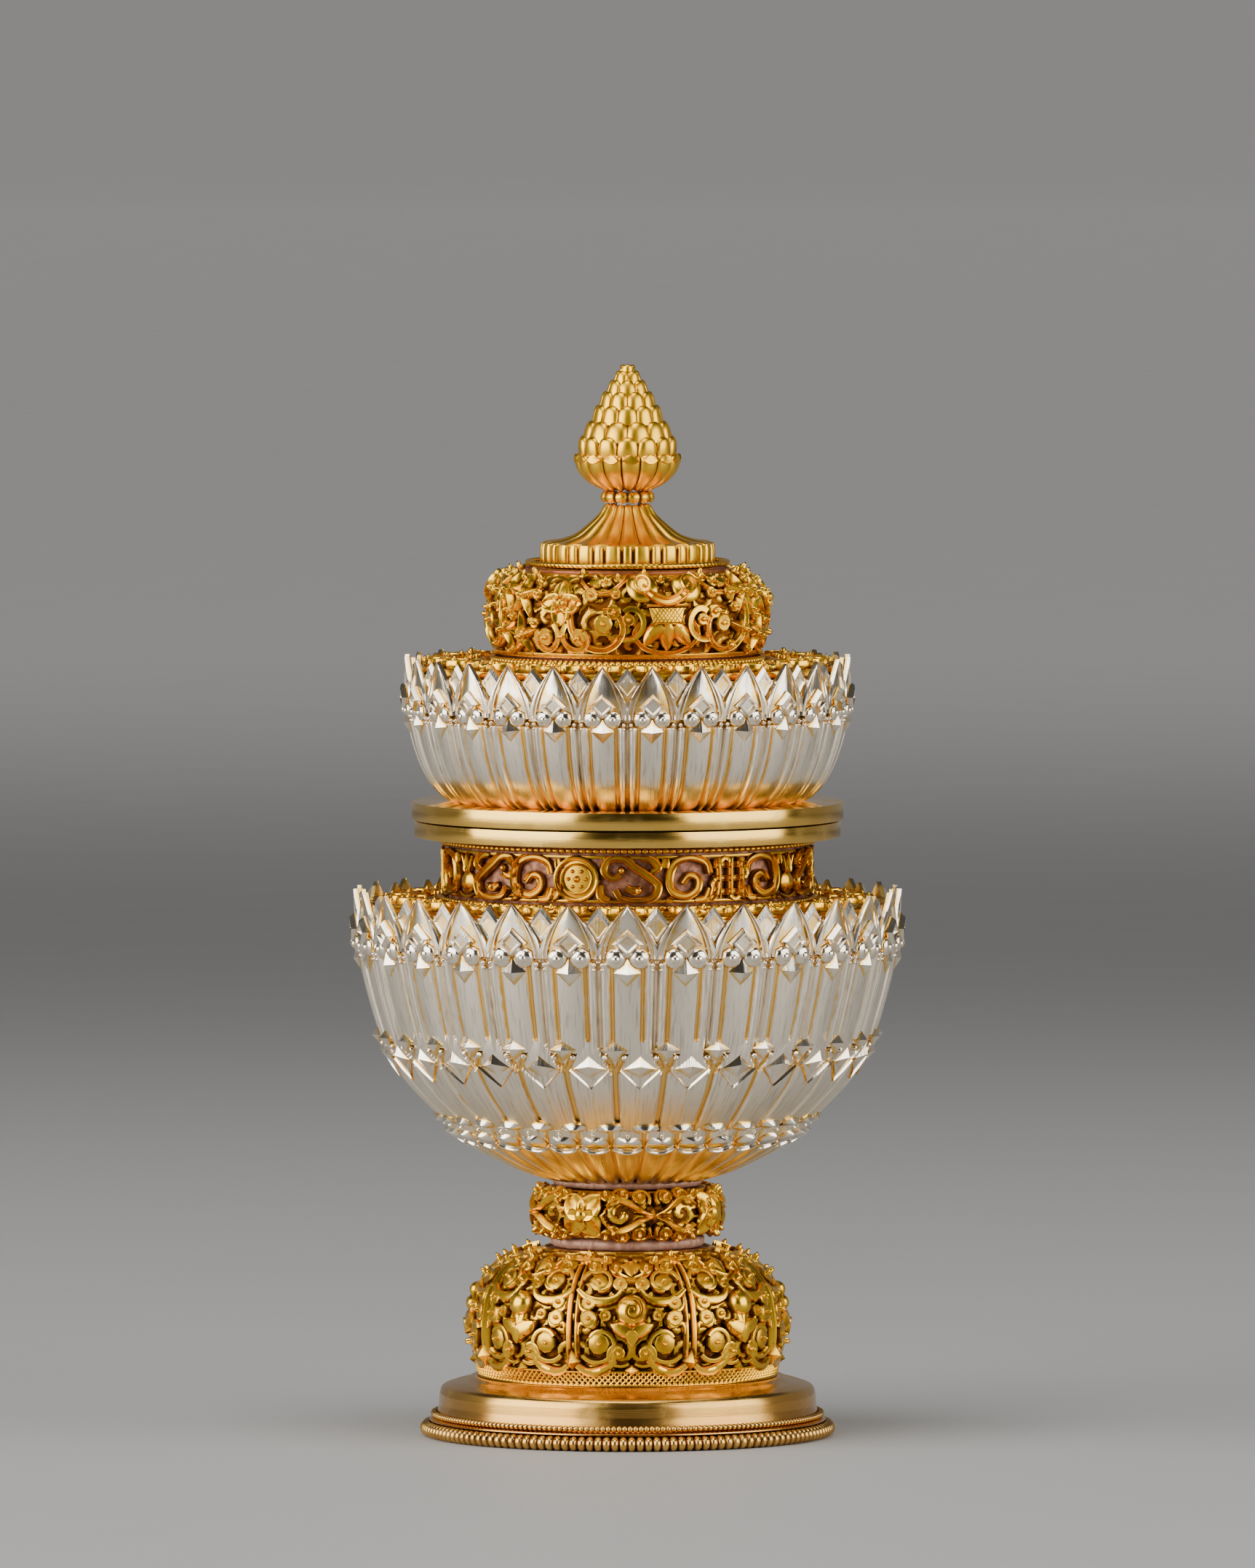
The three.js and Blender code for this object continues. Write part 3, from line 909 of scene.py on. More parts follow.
class VESSEL_OT_dome(bpy.types.Operator):
    """Make the pierced dome with its ribs, scrolls, emblems and hatched hem"""

    bl_idname = "vessel.dome"
    bl_label = "Pierced dome"
    bl_options = {"REGISTER", "UNDO"}

    def execute(self, context):
        sizes = context.scene.vessel_sizes
        m = finishes(context)
        base = low("dome_shell")
        course = Course([(24.6, base), (25.4, 13), (26.1, 17), (26.0, 21), (25.1, 25), (22.6, 28.6),
                         (18.6, 31.2), (14.2, 32.6)])
        liner = Course([(24.2, base), (24.9, 13), (25.5, 17), (25.4, 21), (24.5, 25), (22.1, 28.2),
                        (18.2, 30.7), (13.2, 32.4), (8.0, 33.0)])
        count = sizes.dome_panels
        add_piece("copper_liner", [relief_wall(liner, count, DOME_START, plain_relief, 24, 24, 0.8)],
                  m["red_copper"], "vessel", ["dome_liner"])
        self.hem(base, count, m)
        self.ribs(course, count, sizes.pierced_height, m)
        self.scrollwork(course, count, sizes.pierced_height, m)
        self.trimmings(course, count, sizes.pierced_height, m)
        self.emblems(course, around(count, DOME_START), m)
        return {"FINISHED"}

    def hem(self, base, count, m):
        """A band hatched both ways: 0.45 + 0.25 times the larger of two slanting cosines."""

        def hatch(x, t):
            weave = np.maximum(np.cos(TURN * (20 * x + 2.6 * t)), np.cos(TURN * (20 * x - 2.6 * t)))
            edge = (t < 0.12) | (t > 0.9)
            return np.where(edge, 0.75, 0.45 + 0.25 * weave), np.where(edge, 1, 0.4 + 0.6 * weave)

        hem = Course([(25.1, base), (25.45, base + 1.2), (25.75, base + 2.6)])
        add_piece("hatched_hem", [relief_wall(hem, count, DOME_START, hatch, 120, 26, 0.3)],
                  m["gold_scrolls"], "vessel", ["dome_shell"], 50)

    def ribs(self, course, count, high_z, m):
        """A pair of ribs between every two panels."""
        rib_path = np.stack([np.zeros(30),
                             np.linspace(0, course.at_height(32) - course.at_height(13.6), 30)], 1)
        rib = stroke_form(rib_path, 1.15, high_z * 1.05, RIDGE)
        pair = [rib.moved(u=0.72), rib.moved(u=-0.72)]
        turns = around(count, DOME_START + 180 / count)
        rib_forms = [course.lay(f, turns, course.at_height(13.6), 0.2) for f in pair]
        add_piece("dome_ribs", rib_forms, m["gold_scrolls"], "vessel")

    def scrollwork(self, course, count, high_z, m):
        """Winding bands on the ground of each panel, with bold scrolls and studs over them."""
        curls = [(12.1, 7.3), (4.6, 5.9), (18.6, 10.4), (16.4, 13.6), (6.0, 12.0), (11.0, 14.6),
                 (12.2, 18.0), (4.0, 18.4), (9.6, 20.6), (17.2, 20.2), (3.2, 24.6), (11.5, 24.2),
                 (19.0, 24.0), (19.4, 16.6), (19.4, 5.6)]
        ground = scroll_ground(course, count * 58, 86, curls, count, DOME_START, 0.1, 0.5, 2.5, True)
        add_piece("dome_ground", [ground], m["gold_scrolls"], "vessel", crease=45)
        anchor = scroll([(-9.3, 0.2), (-7.6, -1.0), (-5.2, -0.9), (-3.2, 0.7), (-2.9, 2.8)], 2.1,
                        high_z * 1.15, ROUND, 0.75, 0.4)
        hook = curl((-8.3, 1.9), (-5.5, 3.9), 1.6, 1.7, 22, 1.15, high_z * 1.1)
        heart_curl = curl((-0.5, 0.6), (-2.2, 2.4), -1.4, 1.0, 18, 0.95, high_z * 1.1)
        side_curl = scroll([(-9.0, 5.4), (-8.6, 7.2), (-6.6, 6.8), (-6.3, 8.6), (-8.4, 9.6), (-9.0, 11.4)],
                           1.3, high_z)
        wing = scroll([(-9.2, 12.9), (-7.4, 11.4), (-4.9, 10.9), (-2.6, 11.6), (-1.3, 13.6)], 2.0,
                      high_z * 1.15, ROUND, 0.7, 0.4)
        wing_curl = curl((-8.3, 14.6), (-5.5, 14.4), -1.5, 1.5, 20, 1.1, high_z * 1.1)
        top_curl = curl((-8.6, 19.0), (-6.4, 17.6), -1.5, 1.1, 18, 1.05, high_z * 1.1)
        places = [(-5.5, 3.9, 1.75), (-2.2, 2.4, 1.1), (-7.3, 8.1, 1.4), (-7.3, 10.6, 1.2),
                  (-4.4, 8.6, 1.0), (-5.5, 14.2, 1.6), (-1.9, 14.0, 1.3), (-6.4, 17.6, 1.3),
                  (-2.6, 17.0, 1.1)]
        discs = [stud(r, 0.36, 0.9).moved(u, v, 0.25) for u, v, r in places]
        scrolls = both_sides([anchor, hook, heart_curl, side_curl, wing, wing_curl, top_curl] + discs)
        panels = around(count, DOME_START)
        laid = [course.lay(f, panels, course.at_height(14.0), 0.75) for f in scrolls]
        add_piece("dome_scrolls", laid, m["gold_scrolls"], "vessel", crease=40)

    def trimmings(self, course, count, high_z, m):
        """Diamonds along the foot, and a pendant with studs at the top of each panel."""
        panels = around(count, DOME_START)
        between = around(count, DOME_START + 180 / count)

        def lay(form, z, turns):
            return course.lay(form, turns, course.at_height(z), 0.75)

        foot = crest(3.1, 3.9, 1.9).moved(h=0.55)
        small = crest(2.5, 2.1, 1.3).moved(h=0.5)
        add_piece("dome_diamonds", [lay(foot, 14.9, between), lay(small, 13.4, panels)], m["gold_scrolls"],
                  "vessel", crease=18)
        pendant = scroll([(-3.6, 1.9), (-2.9, -0.6), (0, -2.4), (2.9, -0.6), (3.6, 1.9)], 1.4, high_z,
                         CHANNEL)
        drop = petal(3.6, 4.4, 1.1, ROUND, 1.6).rotated(math.pi).moved(v=1.9)
        pegs = [stud(1.2, 0.42, 0.9).moved(u, v, 0.1) for u, v in ((-4.3, 2.4), (4.3, 2.4))]
        laid = [lay(f, 29.6, panels) for f in [pendant, drop] + pegs]
        laid.append(lay(stud(1.15, 0.42, 0.9), 31.5, between))
        add_piece("dome_pendants", laid, m["gold_scrolls"], "vessel", crease=40)

    def emblems(self, course, panels, m):
        """A shell, a vase or three buds in a ring, by turns, each on three petals."""
        lotus = [petal(3.9, 2.9, 1.9, ROUND, 4.0).rotated(math.radians(a)).moved(0, 0.9) for a in (66, -66)]
        lotus.append(petal(2.6, 2.9, 2.1, ROUND, 4.0).rotated(math.pi).moved(0, 1.5))
        wheel = [bead(2.9, 2.3).moved(v=4.7)]
        whorl = curl((0.3, 6.5), (0.15, 4.7), -2.7, 0.3, 36, 0.7, 0.5)
        wheel.append(whorl.moved(h=1.95))
        vase = [turned_form([(0, -0.4), (2.1, -0.4), (2.1, 0.9), (1.7, 1.9), (0.9, 2.4), (0, 2.5)],
                            16).moved(v=5.4)]
        vase += [petal(4.4, 2.2, 1.3, ROUND, 3.0).rotated(math.radians(a)).moved(0, 1.6) for a in (14, -14)]
        buds = [bead(1.5, 1.9).moved(u, v) for u, v in ((-1.25, 4.1), (1.25, 4.1), (0, 6.3))]
        buds.append(ring_form(2.6, 0.7, 1.2, ROUND).moved(v=4.8))
        for i, turn in enumerate(panels):
            emblem = (wheel, vase, buds, vase)[i % 4]
            forms = [course.lay(f.moved(h=0.25), [turn], course.at_height(18.6), 0.75)
                     for f in lotus + list(emblem)]
            add_piece(f"emblem_{i + 1}", forms, m["gold_scrolls"], "vessel", [f"dome_emblem_{i + 1}"], 40)


class VESSEL_OT_knop(bpy.types.Operator):
    """Make the pierced knop between its two collars"""

    bl_idname = "vessel.knop"
    bl_label = "Knop"
    bl_options = {"REGISTER", "UNDO"}

    def execute(self, context):
        m = finishes(context)
        bottom, top = low("knop_ring"), high("knop_ring")
        course = Course([(13.5, bottom), (15.0, 36.2), (15.8, 37.8), (16.0, 39), (15.8, 40.2), (15.0, 41.6),
                         (13.5, top)])
        core = [(4, low("knop_core")), (13.2, low("knop_core")), (14.1, 37), (14.4, 39), (14.1, 41),
                (13.2, high("knop_core")), (4, high("knop_core"))]
        add_piece("knop_body", [turned_wall(core, 96)], m["red_copper"], "vessel", ["knop_core"])
        repeats = 4
        curls = [(-38, 2.6), (-38, 7.4), (-20, 5.2), (-8, 2.6), (-8, 7.6), (8, 2.6), (8, 7.6), (20, 5.2),
                 (30, 2.4), (30, 7.6)]
        ground = scroll_ground(course, 296, 34, curls, repeats, 16, 0.1, 0.5, 2.6, rims=(0.5, 0.5),
                               unshaded_share=0.8)
        add_piece("knop_ground", [ground], m["gold_scrolls"], "vessel", crease=45)
        flowers = around(repeats, -29)
        crosses = around(repeats, 16)
        middle = course.at_height(39)
        flower = rosette(4.4, 4, 1.2, 45)
        half = [
            scroll([(0.3, 0.2), (2.2, 0.9), (4.4, 2.3), (6.4, 2.6), (8.0, 1.4)], 1.5, 1.2, RIDGE, 0.6, 0.4),
            curl((0.9, 1.7), (2.3, 2.9), -1.4, 0.9, 16, 0.9, 1.1),
            curl((6.6, 2.2), (5.2, 3.4), 1.3, 0.8, 16, 0.9, 1.1),
        ]
        half += [stud(1.15, 0.36, 0.8).moved(u, v, 0.1) for u, v in ((2.3, 2.9), (5.2, 3.5), (8.2, 3.4))]
        quarter = both_sides(half)
        flipped = [f.rotated(math.pi) for f in quarter]
        heart = crest(3.4, 2.4, 1.6).moved(h=0.2)
        forms = [course.lay(f, crosses, middle, 0.3) for f in quarter + flipped + [heart]]
        forms += [course.lay(flower, flowers, middle, 0.3)]
        rims = [(5.6, 2.6), (-5.6, 2.6), (5.6, -2.6), (-5.6, -2.6)]
        forms += [course.lay(stud(1.1, 0.34, 0.8).moved(u, v), flowers, middle, 0.3) for u, v in rims]
        add_piece("knop_scrolls", forms, m["gold_scrolls"], "vessel", ["knop_ring"], 40)
        self.collar("upper_collar", "knop_upper_collar", 12.75, m, 0)
        self.collar("lower_collar", "knop_lower_collar", 13.2, m, 0.8)
        return {"FINISHED"}

    def collar(self, name, node, radius, m, deeper):
        """A lumpy collar: a rounded edge whose radius wavers with the turn."""
        bottom, top = low(node) - deeper, high(node)
        turn = all_turns(240)
        rho = np.array([3, radius - 0.5, radius - 0.1, radius, radius - 0.1, radius - 0.5, 3])
        z = bottom + (top - bottom) * np.array([0, 0, 0.2, 0.5, 0.8, 1, 1])
        share = np.array([0, 0, 1, 0.6, 1, 0, 0])
        waver = 0.2 * np.sin(turn * 37 + 2 * np.sin(turn * 11)) * (rho > 4) * share
        form = grid_form(about_axis(rho + waver, turn, z), 1.0, wrap_u=True, wrap_v=True)
        add_piece(name, [form], m["solder"], "vessel", [node], 60)


class VESSEL_OT_bowl(bpy.types.Operator):
    """Make the silver lotus bowl: three tiers of petals, diamonds, bosses and leaf tips"""

    bl_idname = "vessel.bowl"
    bl_label = "Lotus bowl"
    bl_options = {"REGISTER", "UNDO"}

    def execute(self, context):
        sizes = context.scene.vessel_sizes
        m = finishes(context)
        base = low("bowl_lotus")
        upper = Course([(41.7, 69.0), (42.7, 72), (44.0, 76.5), (45.1, 81), (45.9, 85), (46.2, 88),
                        (46.3, 91.6)])
        crown = Course([(41.7, 69.0), (44.0, 76.5), (45.1, 81), (45.9, 85), (46.2, 88), (46.4, 91),
                        (46.7, 95)])
        middle = Course([(30.6, 55.0), (33.2, 57.3), (35.9, 60), (38.4, 62.9), (40.4, 66), (41.5, 69),
                         (41.9, 71.0)])
        lower = Course([(12.6, base), (17.6, 46.4), (22.0, 48.4), (26.2, 50.6), (29.4, 52.9), (31.0, 55.2)])
        petals, mid_petals, low_petals = sizes.bowl_petals, sizes.middle_petals, sizes.lower_petals
        rib = sizes.rib_height
        add_piece("bowl_tall_petals", [relief_wall(upper, petals, 0, tall_petal_relief(rib, 0.71), 32, 46)],
                  m["silver_panels"], "vessel", ["bowl_lotus"], 28)
        lotus_crown("bowl", "vessel", crown, petals, 0, (85.3, 94.5, 1.0), m)
        add_piece("bowl_middle_petals",
                  [relief_wall(middle, mid_petals, 3, forked_petal_relief(rib), 30, 44)],
                  m["silver_panels"], "vessel", crease=28)
        add_piece("bowl_flutes", [relief_wall(lower, low_petals, 0, flute_relief(rib), 24, 30)],
                  m["silver_lower"], "vessel", crease=35)
        self.diamonds(middle, mid_petals, m)
        self.scales(lower, middle, low_petals, m)
        self.liner(m)
        return {"FINISHED"}

    def liner(self, m):
        """The bowl's inside: a smooth hammered shell, its radius 1 + 0.0016 sin(31 turn) sin(height) of
        the outline's."""
        inside = [(2.3, 48.5), (12.2, 48.4), (22.5, 52.6), (29.1, 57.7), (36.0, 64.2), (39.6, 70.8),
                  (43.0, 81.5), (43.9, 90.6)]
        outside = [(45.1, 90.6), (44.2, 81.2), (40.7, 70.4), (36.9, 63.4), (29.9, 56.7), (23.1, 51.5),
                   (12.4, 47.3), (2.3, 47.3)]
        outline = np.vstack([smooth_curve(inside, 4), smooth_curve(outside, 2)])[::-1]
        shell = turned_wall(outline, 160, 0.1)
        x, y, z = shell.corners.T
        marks = 1 + 0.0016 * np.sin(31 * np.arctan2(x, y) + 1.2 * np.sin(z)) * np.sin(1.7 * z)
        shell = Form(shell.corners * np.stack([marks, marks, 1 + 0 * marks], 1), shell.quads, shell.proud)
        add_piece("bowl_inner_shell", [shell], m["silver_lining"], "vessel", ["bowl_liner"], 60)

    def diamonds(self, course, count, m):
        """Large cut diamonds on the middle petals, smaller ones between them, and a raised V under
        each."""
        turns, between = around(count, 3), around(count, 3 + 180 / count)
        large = crest(5.9, 5.8, 1.4, peak=1.0).moved(h=0.55)
        small = crest(4.6, 4.0, 1.5, peak=0.2).moved(h=0.95)
        vee = stroke_form([(-3.4, 0.0), (-1.7, -1.8), (0, -3.7), (1.7, -1.8), (3.4, 0.0)], 0.6, 0.5,
                          RIDGE).moved(h=0.85)
        lash = [bead(0.55, 0.7).moved(u=x, v=2.2, h=0.9) for x in (-2.7, 2.7)]
        at = course.at_height(66.3)
        forms = [course.lay(f, turns, at, 0.3) for f in [large, vee] + lash]
        forms.append(course.lay(small, between, course.at_height(69.6), 0.3))
        add_piece("bowl_middle_diamonds", forms, m["silver_bright"], "vessel", crease=16)

    def scales(self, course, above, count, m):
        """Small ovals at the foot of the tier above, over rounded shields with a crescent lip."""
        turns, between = around(count), around(count, 180 / count)
        phi = np.linspace(0, TURN, 14, endpoint=False)
        oval = cut_form(np.stack([2.3 * np.cos(phi), 1.15 * np.sin(phi)], 1),
                        [(0, -0.4), (1, -0.4), (1, 0.3), (0.72, 0.65), (0.3, 1.15), (0, 1.2)], (0, 0.5))
        drop = np.stack([2.5 * np.cos(phi), 1.9 * np.sin(phi) - 0.3], 1)
        shield = cut_form(drop, [(0, -0.4), (1, -0.4), (1, 0.4), (0.66, 0.75), (0.2, 1.35), (0, 1.35)],
                          (0, 1.0))
        arc = np.linspace(-2.9, -0.25, 12)
        lip = stroke_form(np.stack([2.6 * np.cos(arc), 2.05 * np.sin(arc) - 0.35], 1), 0.55, 0.95)
        peg = bead(0.45, 0.8).moved(v=1.9, h=0.6)
        forms = [course.lay(shield.moved(h=0.35), turns, course.at_height(53.0), 0.5),
                 course.lay(lip.moved(h=0.3), turns, course.at_height(53.0), 0.5),
                 above.lay(oval.moved(h=0.75), between, above.at_height(56.0), 0.3),
                 course.lay(peg, turns, course.at_height(53.0), 0.5)]
        add_piece("bowl_scales", forms, m["silver_bright"], "vessel", crease=30)


def floret_ring(deck_z, radius, count):
    """Florets and leaf sprays lying on a deck, each on a flat course that runs inwards."""
    deck = Course([(radius + 6, deck_z), (radius, deck_z), (radius - 6, deck_z)], smooth=False)
    flower = joined([petal(2.3, 2.1, 1.0, ROUND, 4.0).rotated(TURN * i / 5) for i in range(5)]
                    + [bead(0.7, 1.7)])
    spray = [scroll([(1.6, -1.6), (3.2, -2.4), (4.8, -1.2), (4.6, 0.6), (3.4, 0.5)], 1.3, 1.3, CHANNEL),
             scroll([(1.4, 1.8), (2.9, 2.6), (4.4, 2.2), (5.2, 3.2)], 1.2, 1.0, CHANNEL),
             petal(3.0, 1.8, 1.5, RIDGE).rotated(-1.2).moved(1.4, -0.2)]
    dots = [stud(0.75, 0.34, 0.5).moved(u, v) for u, v in ((3.9, -0.6), (2.8, -3.6), (4.6, 3.4))]
    forms = [flower.moved(h=0.3)] + both_sides(spray + dots)
    return [deck.lay(f, around(count), 6.0, 0.5) for f in forms]


def deck_vine(deck_z, inner, outer, repeats):
    """A low vine that covers a deck, with two whorls to each repeat."""
    course = Course([(outer, deck_z), ((inner + outer) / 2, deck_z), (inner, deck_z)], smooth=False)
    seeds = [(0, course.length * 0.28), (180 / repeats, course.length * 0.74)]
    return scroll_ground(course, 26 * repeats, 28, seeds, repeats, 0, 0.5, 0.1, 3.0, rims=(0.0, 0.0))


class VESSEL_OT_decks(bpy.types.Operator):
    """Make the two gilt decks and their applied florets"""

    bl_idname = "vessel.decks"
    bl_label = "Decks"
    bl_options = {"REGISTER", "UNDO"}

    def execute(self, context):
        m = finishes(context)
        for name, node, body, inner, outer, petals in (
            ("bowl", "bowl_deck", "vessel", 29.7, 44.9, 18), ("lid", "lid_deck", "lid", 2.4, 36.0, 15),
        ):
            bottom, top = low(node), high(node)
            plate = band(inner, outer, bottom, top)
            add_piece(f"{name}_deck_plate", [plate], m["gold_scrolls"], body, [node])
            middle = (max(inner, 24.8) + outer) / 2 + 0.9
            vine = deck_vine(top, middle - 5.6, outer - 0.6, petals + 8)
            add_piece(f"{name}_deck_vine", [vine], m["gold_scrolls"], body, crease=50)
            add_piece(f"{name}_florets", floret_ring(top, middle, petals), m["gold_scrolls"], body,
                      crease=40)
        return {"FINISHED"}


class VESSEL_OT_neck(bpy.types.Operator):
    """Make the pierced neck, its lining and bead wires, and the flange the lid rests on"""

    bl_idname = "vessel.neck"
    bl_label = "Neck and flange"
    bl_options = {"REGISTER", "UNDO"}

    def execute(self, context):
        m = finishes(context)
        bottom, top = low("neck_band"), high("neck_band")
        course = Course([(30.9, bottom), (30.9, (bottom + top) / 2), (30.9, top)])
        middle = (bottom + top) / 2
        sleeve = band(29.6, 30.8, low("neck_sleeve"), high("neck_sleeve"))
        # The lining's copper is darkened as painted shade.
        add_piece("neck_lining", [sleeve], m["shaded_copper"], "vessel", ["neck_sleeve"])
        for name, node, beads in (("deck_pearls", "deck_bead_wire", 150),
                                  ("neck_pearls", "neck_bead_wire", 168)):
            wire_z = middle_height(node)
            size = (high(node) - low(node)) / 2
            hoop = beaded_hoop(32.1, wire_z, size, beads, 1.0, 0.5, 6, 8)
            add_piece(name, [hoop], m["gold_shaded"], "vessel", [node], 60)
        rim = self.rails(bottom, top)
        add_piece("neck_scrolls", rim + self.scrollwork(course, middle), m["gold_shaded"], "vessel",
                  ["neck_band"], 40)
        flange = band(29.6, reach("vessel_flange"), low("vessel_flange"), high("vessel_flange"), 224)
        add_piece("neck_flange", [flange], m["brass_discs"], "vessel", ["vessel_flange"])
        return {"FINISHED"}

    def rails(self, bottom, top):
        """Thin rails above and below the scrolls."""
        rail = band(30.85, 31.5, bottom, bottom + 0.5)
        return [rail, rail.moved(h=top - bottom - 0.5)]

    def scrollwork(self, course, middle):
        """Round medallions, square knots and vases, with cloud scrolls between them."""
        at = course.at_height(middle)
        medallion = [ring_form(3.6, 1.0, 1.35, ROUND), ring_form(2.55, 0.5, 1.1, ROUND),
                     turned_form([(0, -0.3), (3.3, -0.3), (3.3, 0.4), (0, 0.6)], 24)]
        medallion += [bead(0.42, 1.2).moved(1.5 * math.cos(a), 1.5 * math.sin(a))
                      for a in np.arange(6) * TURN / 6]
        medallion.append(bead(0.7, 1.4))
        bars = [stroke_form([(-3.4, y), (3.4, y)], 1.2, 1.2, CHANNEL) for y in (-2.3, 0.0, 2.3)]
        bars += [f.rotated(math.pi / 2) for f in bars]
        knot = bars + [stroke_form(smooth_curve([(-2.9, -2), (-3.5, -1), (-2.9, 0)], 5), 0.8, 1.15,
                                   FLAT).rotated(a) for a in (0, math.pi / 2, math.pi, -math.pi / 2)]
        vase = [
            turned_form([(0, -0.3), (1.9, -0.3), (1.9, 0.7), (1.2, 1.3), (0, 1.5)], 16).moved(v=-1.4),
            scroll([(-1.6, 3.2), (-0.9, 1.6), (-0.7, 0.6)], 0.8, 1.1),
            scroll([(1.6, 3.2), (0.9, 1.6), (0.7, 0.6)], 0.8, 1.1),
            petal(3.4, 2.0, 1.3, CHANNEL).moved(v=0.4),
            scroll([(-2.6, -3.2), (0, -3.9), (2.6, -3.2)], 1.0, 1.1),
        ]
        places = {-16: medallion, 33.5: knot, 60: vase, 0.9: self.ribbon_s(), 19.6: self.ribbon_c(),
                  46.5: [f.mirrored() for f in self.ribbon_c()],
                  74.5: [f.mirrored() for f in self.ribbon_s()], 89.0: self.ribbon_c()}
        return [course.lay(f, around(3, place), at) for place, forms in places.items() for f in forms]

    def ribbon_s(self):
        """A ribbon in the shape of an S with hooked ends, and a short hook in each of its hollows."""
        body = [(-1.4, 0.7), (-2.8, 0.2), (-4.0, 1.4), (-3.3, 3.2), (-1.1, 3.4), (0.7, 2.0), (2.6, 0.6),
                (4.2, -0.9), (3.6, -2.9), (1.2, -3.5), (-1.3, -3.1), (-2.3, -1.7)]
        hooks = [[(1.5, 3.5), (3.1, 3.3), (4.2, 2.0), (3.2, 1.2)],
                 [(-4.6, -0.9), (-4.5, -2.8), (-3.2, -3.5)], [(-0.6, -1.3), (0.6, -1.9), (1.7, -1.5)]]
        buds = [bead(0.75, 1.1).moved(-1.5, 1.5), bead(0.75, 1.1).moved(1.4, -1.9)]
        return [scroll(path, 1.5, 1.25, CHANNEL, 0.9, 0.9).stretched(1.1, 1.04)
                for path in [body] + hooks] + buds

    def ribbon_c(self):
        """A ribbon that winds in on itself, with a tail under it."""
        body = [(-1.2, -0.7), (-0.1, 0.6), (1.3, 0.1), (1.2, -1.7), (-0.6, -2.8), (-2.8, -1.9), (-3.2, 0.5),
                (-2.2, 2.8), (0.3, 3.5), (2.6, 2.7), (3.3, 0.9)]
        tails = [[(0.9, -3.5), (2.6, -3.2), (3.3, -1.5)], [(-3.8, 3.4), (-3.9, 1.9)],
                 [(-3.7, -3.4), (-2.6, -3.6)]]
        tails += [[(4.4, 3.3), (4.6, 1.6)], [(4.5, -0.6), (4.2, -2.4), (3.4, -3.4)]]
        return [scroll(path, 1.5, 1.25, CHANNEL, 0.9, 0.9).stretched(1.1, 1.04) for path in [body] + tails]


class VESSEL_OT_lid(bpy.types.Operator):
    """Make the lid's flange, its spigot and its lotus"""

    bl_idname = "vessel.lid"
    bl_label = "Lid"
    bl_options = {"REGISTER", "UNDO"}

    def execute(self, context):
        sizes = context.scene.vessel_sizes
        m = finishes(context)
        top = high("lid_flange")
        under, edge = low("lid_flange"), reach("lid_flange")
        disc = [(0, under), (edge - 0.14, under), (edge - 0.04, under + 0.04), (edge, under + 0.14),
                (edge, top - 0.14), (edge - 0.04, top - 0.04), (edge - 0.14, top), (0, top)]
        spigot_r = reach("lid_spigot")
        spigot = band(spigot_r - 1.2, spigot_r, low("lid_spigot"), high("lid_spigot"))
        add_piece("lid_disc", [turned_form(disc, 224)], m["brass_discs"], "lid", ["lid_flange"])
        add_piece("lid_seat_ring", [spigot], m["brass_discs"], "lid", ["lid_spigot"])
        count = sizes.lid_petals
        wall = Course([(28.6, low("lid_lotus")), (31.2, 111.0), (33.4, 113.4), (34.9, 116.2), (36.0, 119.2),
                       (36.8, 122.3), (37.4, 125.5), (37.7, 128.5), (37.8, 131.8)])
        crown = Course([(36.0, 119.2), (36.8, 122.3), (37.4, 125.5), (37.7, 128.5), (37.8, 131.5),
                        (38.0, 135)])
        relief = tall_petal_relief(sizes.rib_height, 0.71)
        add_piece("lid_tall_petals", [relief_wall(wall, count, 6.4, relief, 32, 44)], m["silver_lid_wall"],
                  "lid", ["lid_lotus"], 28)
        lotus_crown("lid", "lid", crown, count, 6.4, (125.6, 134.6, 0.85), m)
        return {"FINISHED"}


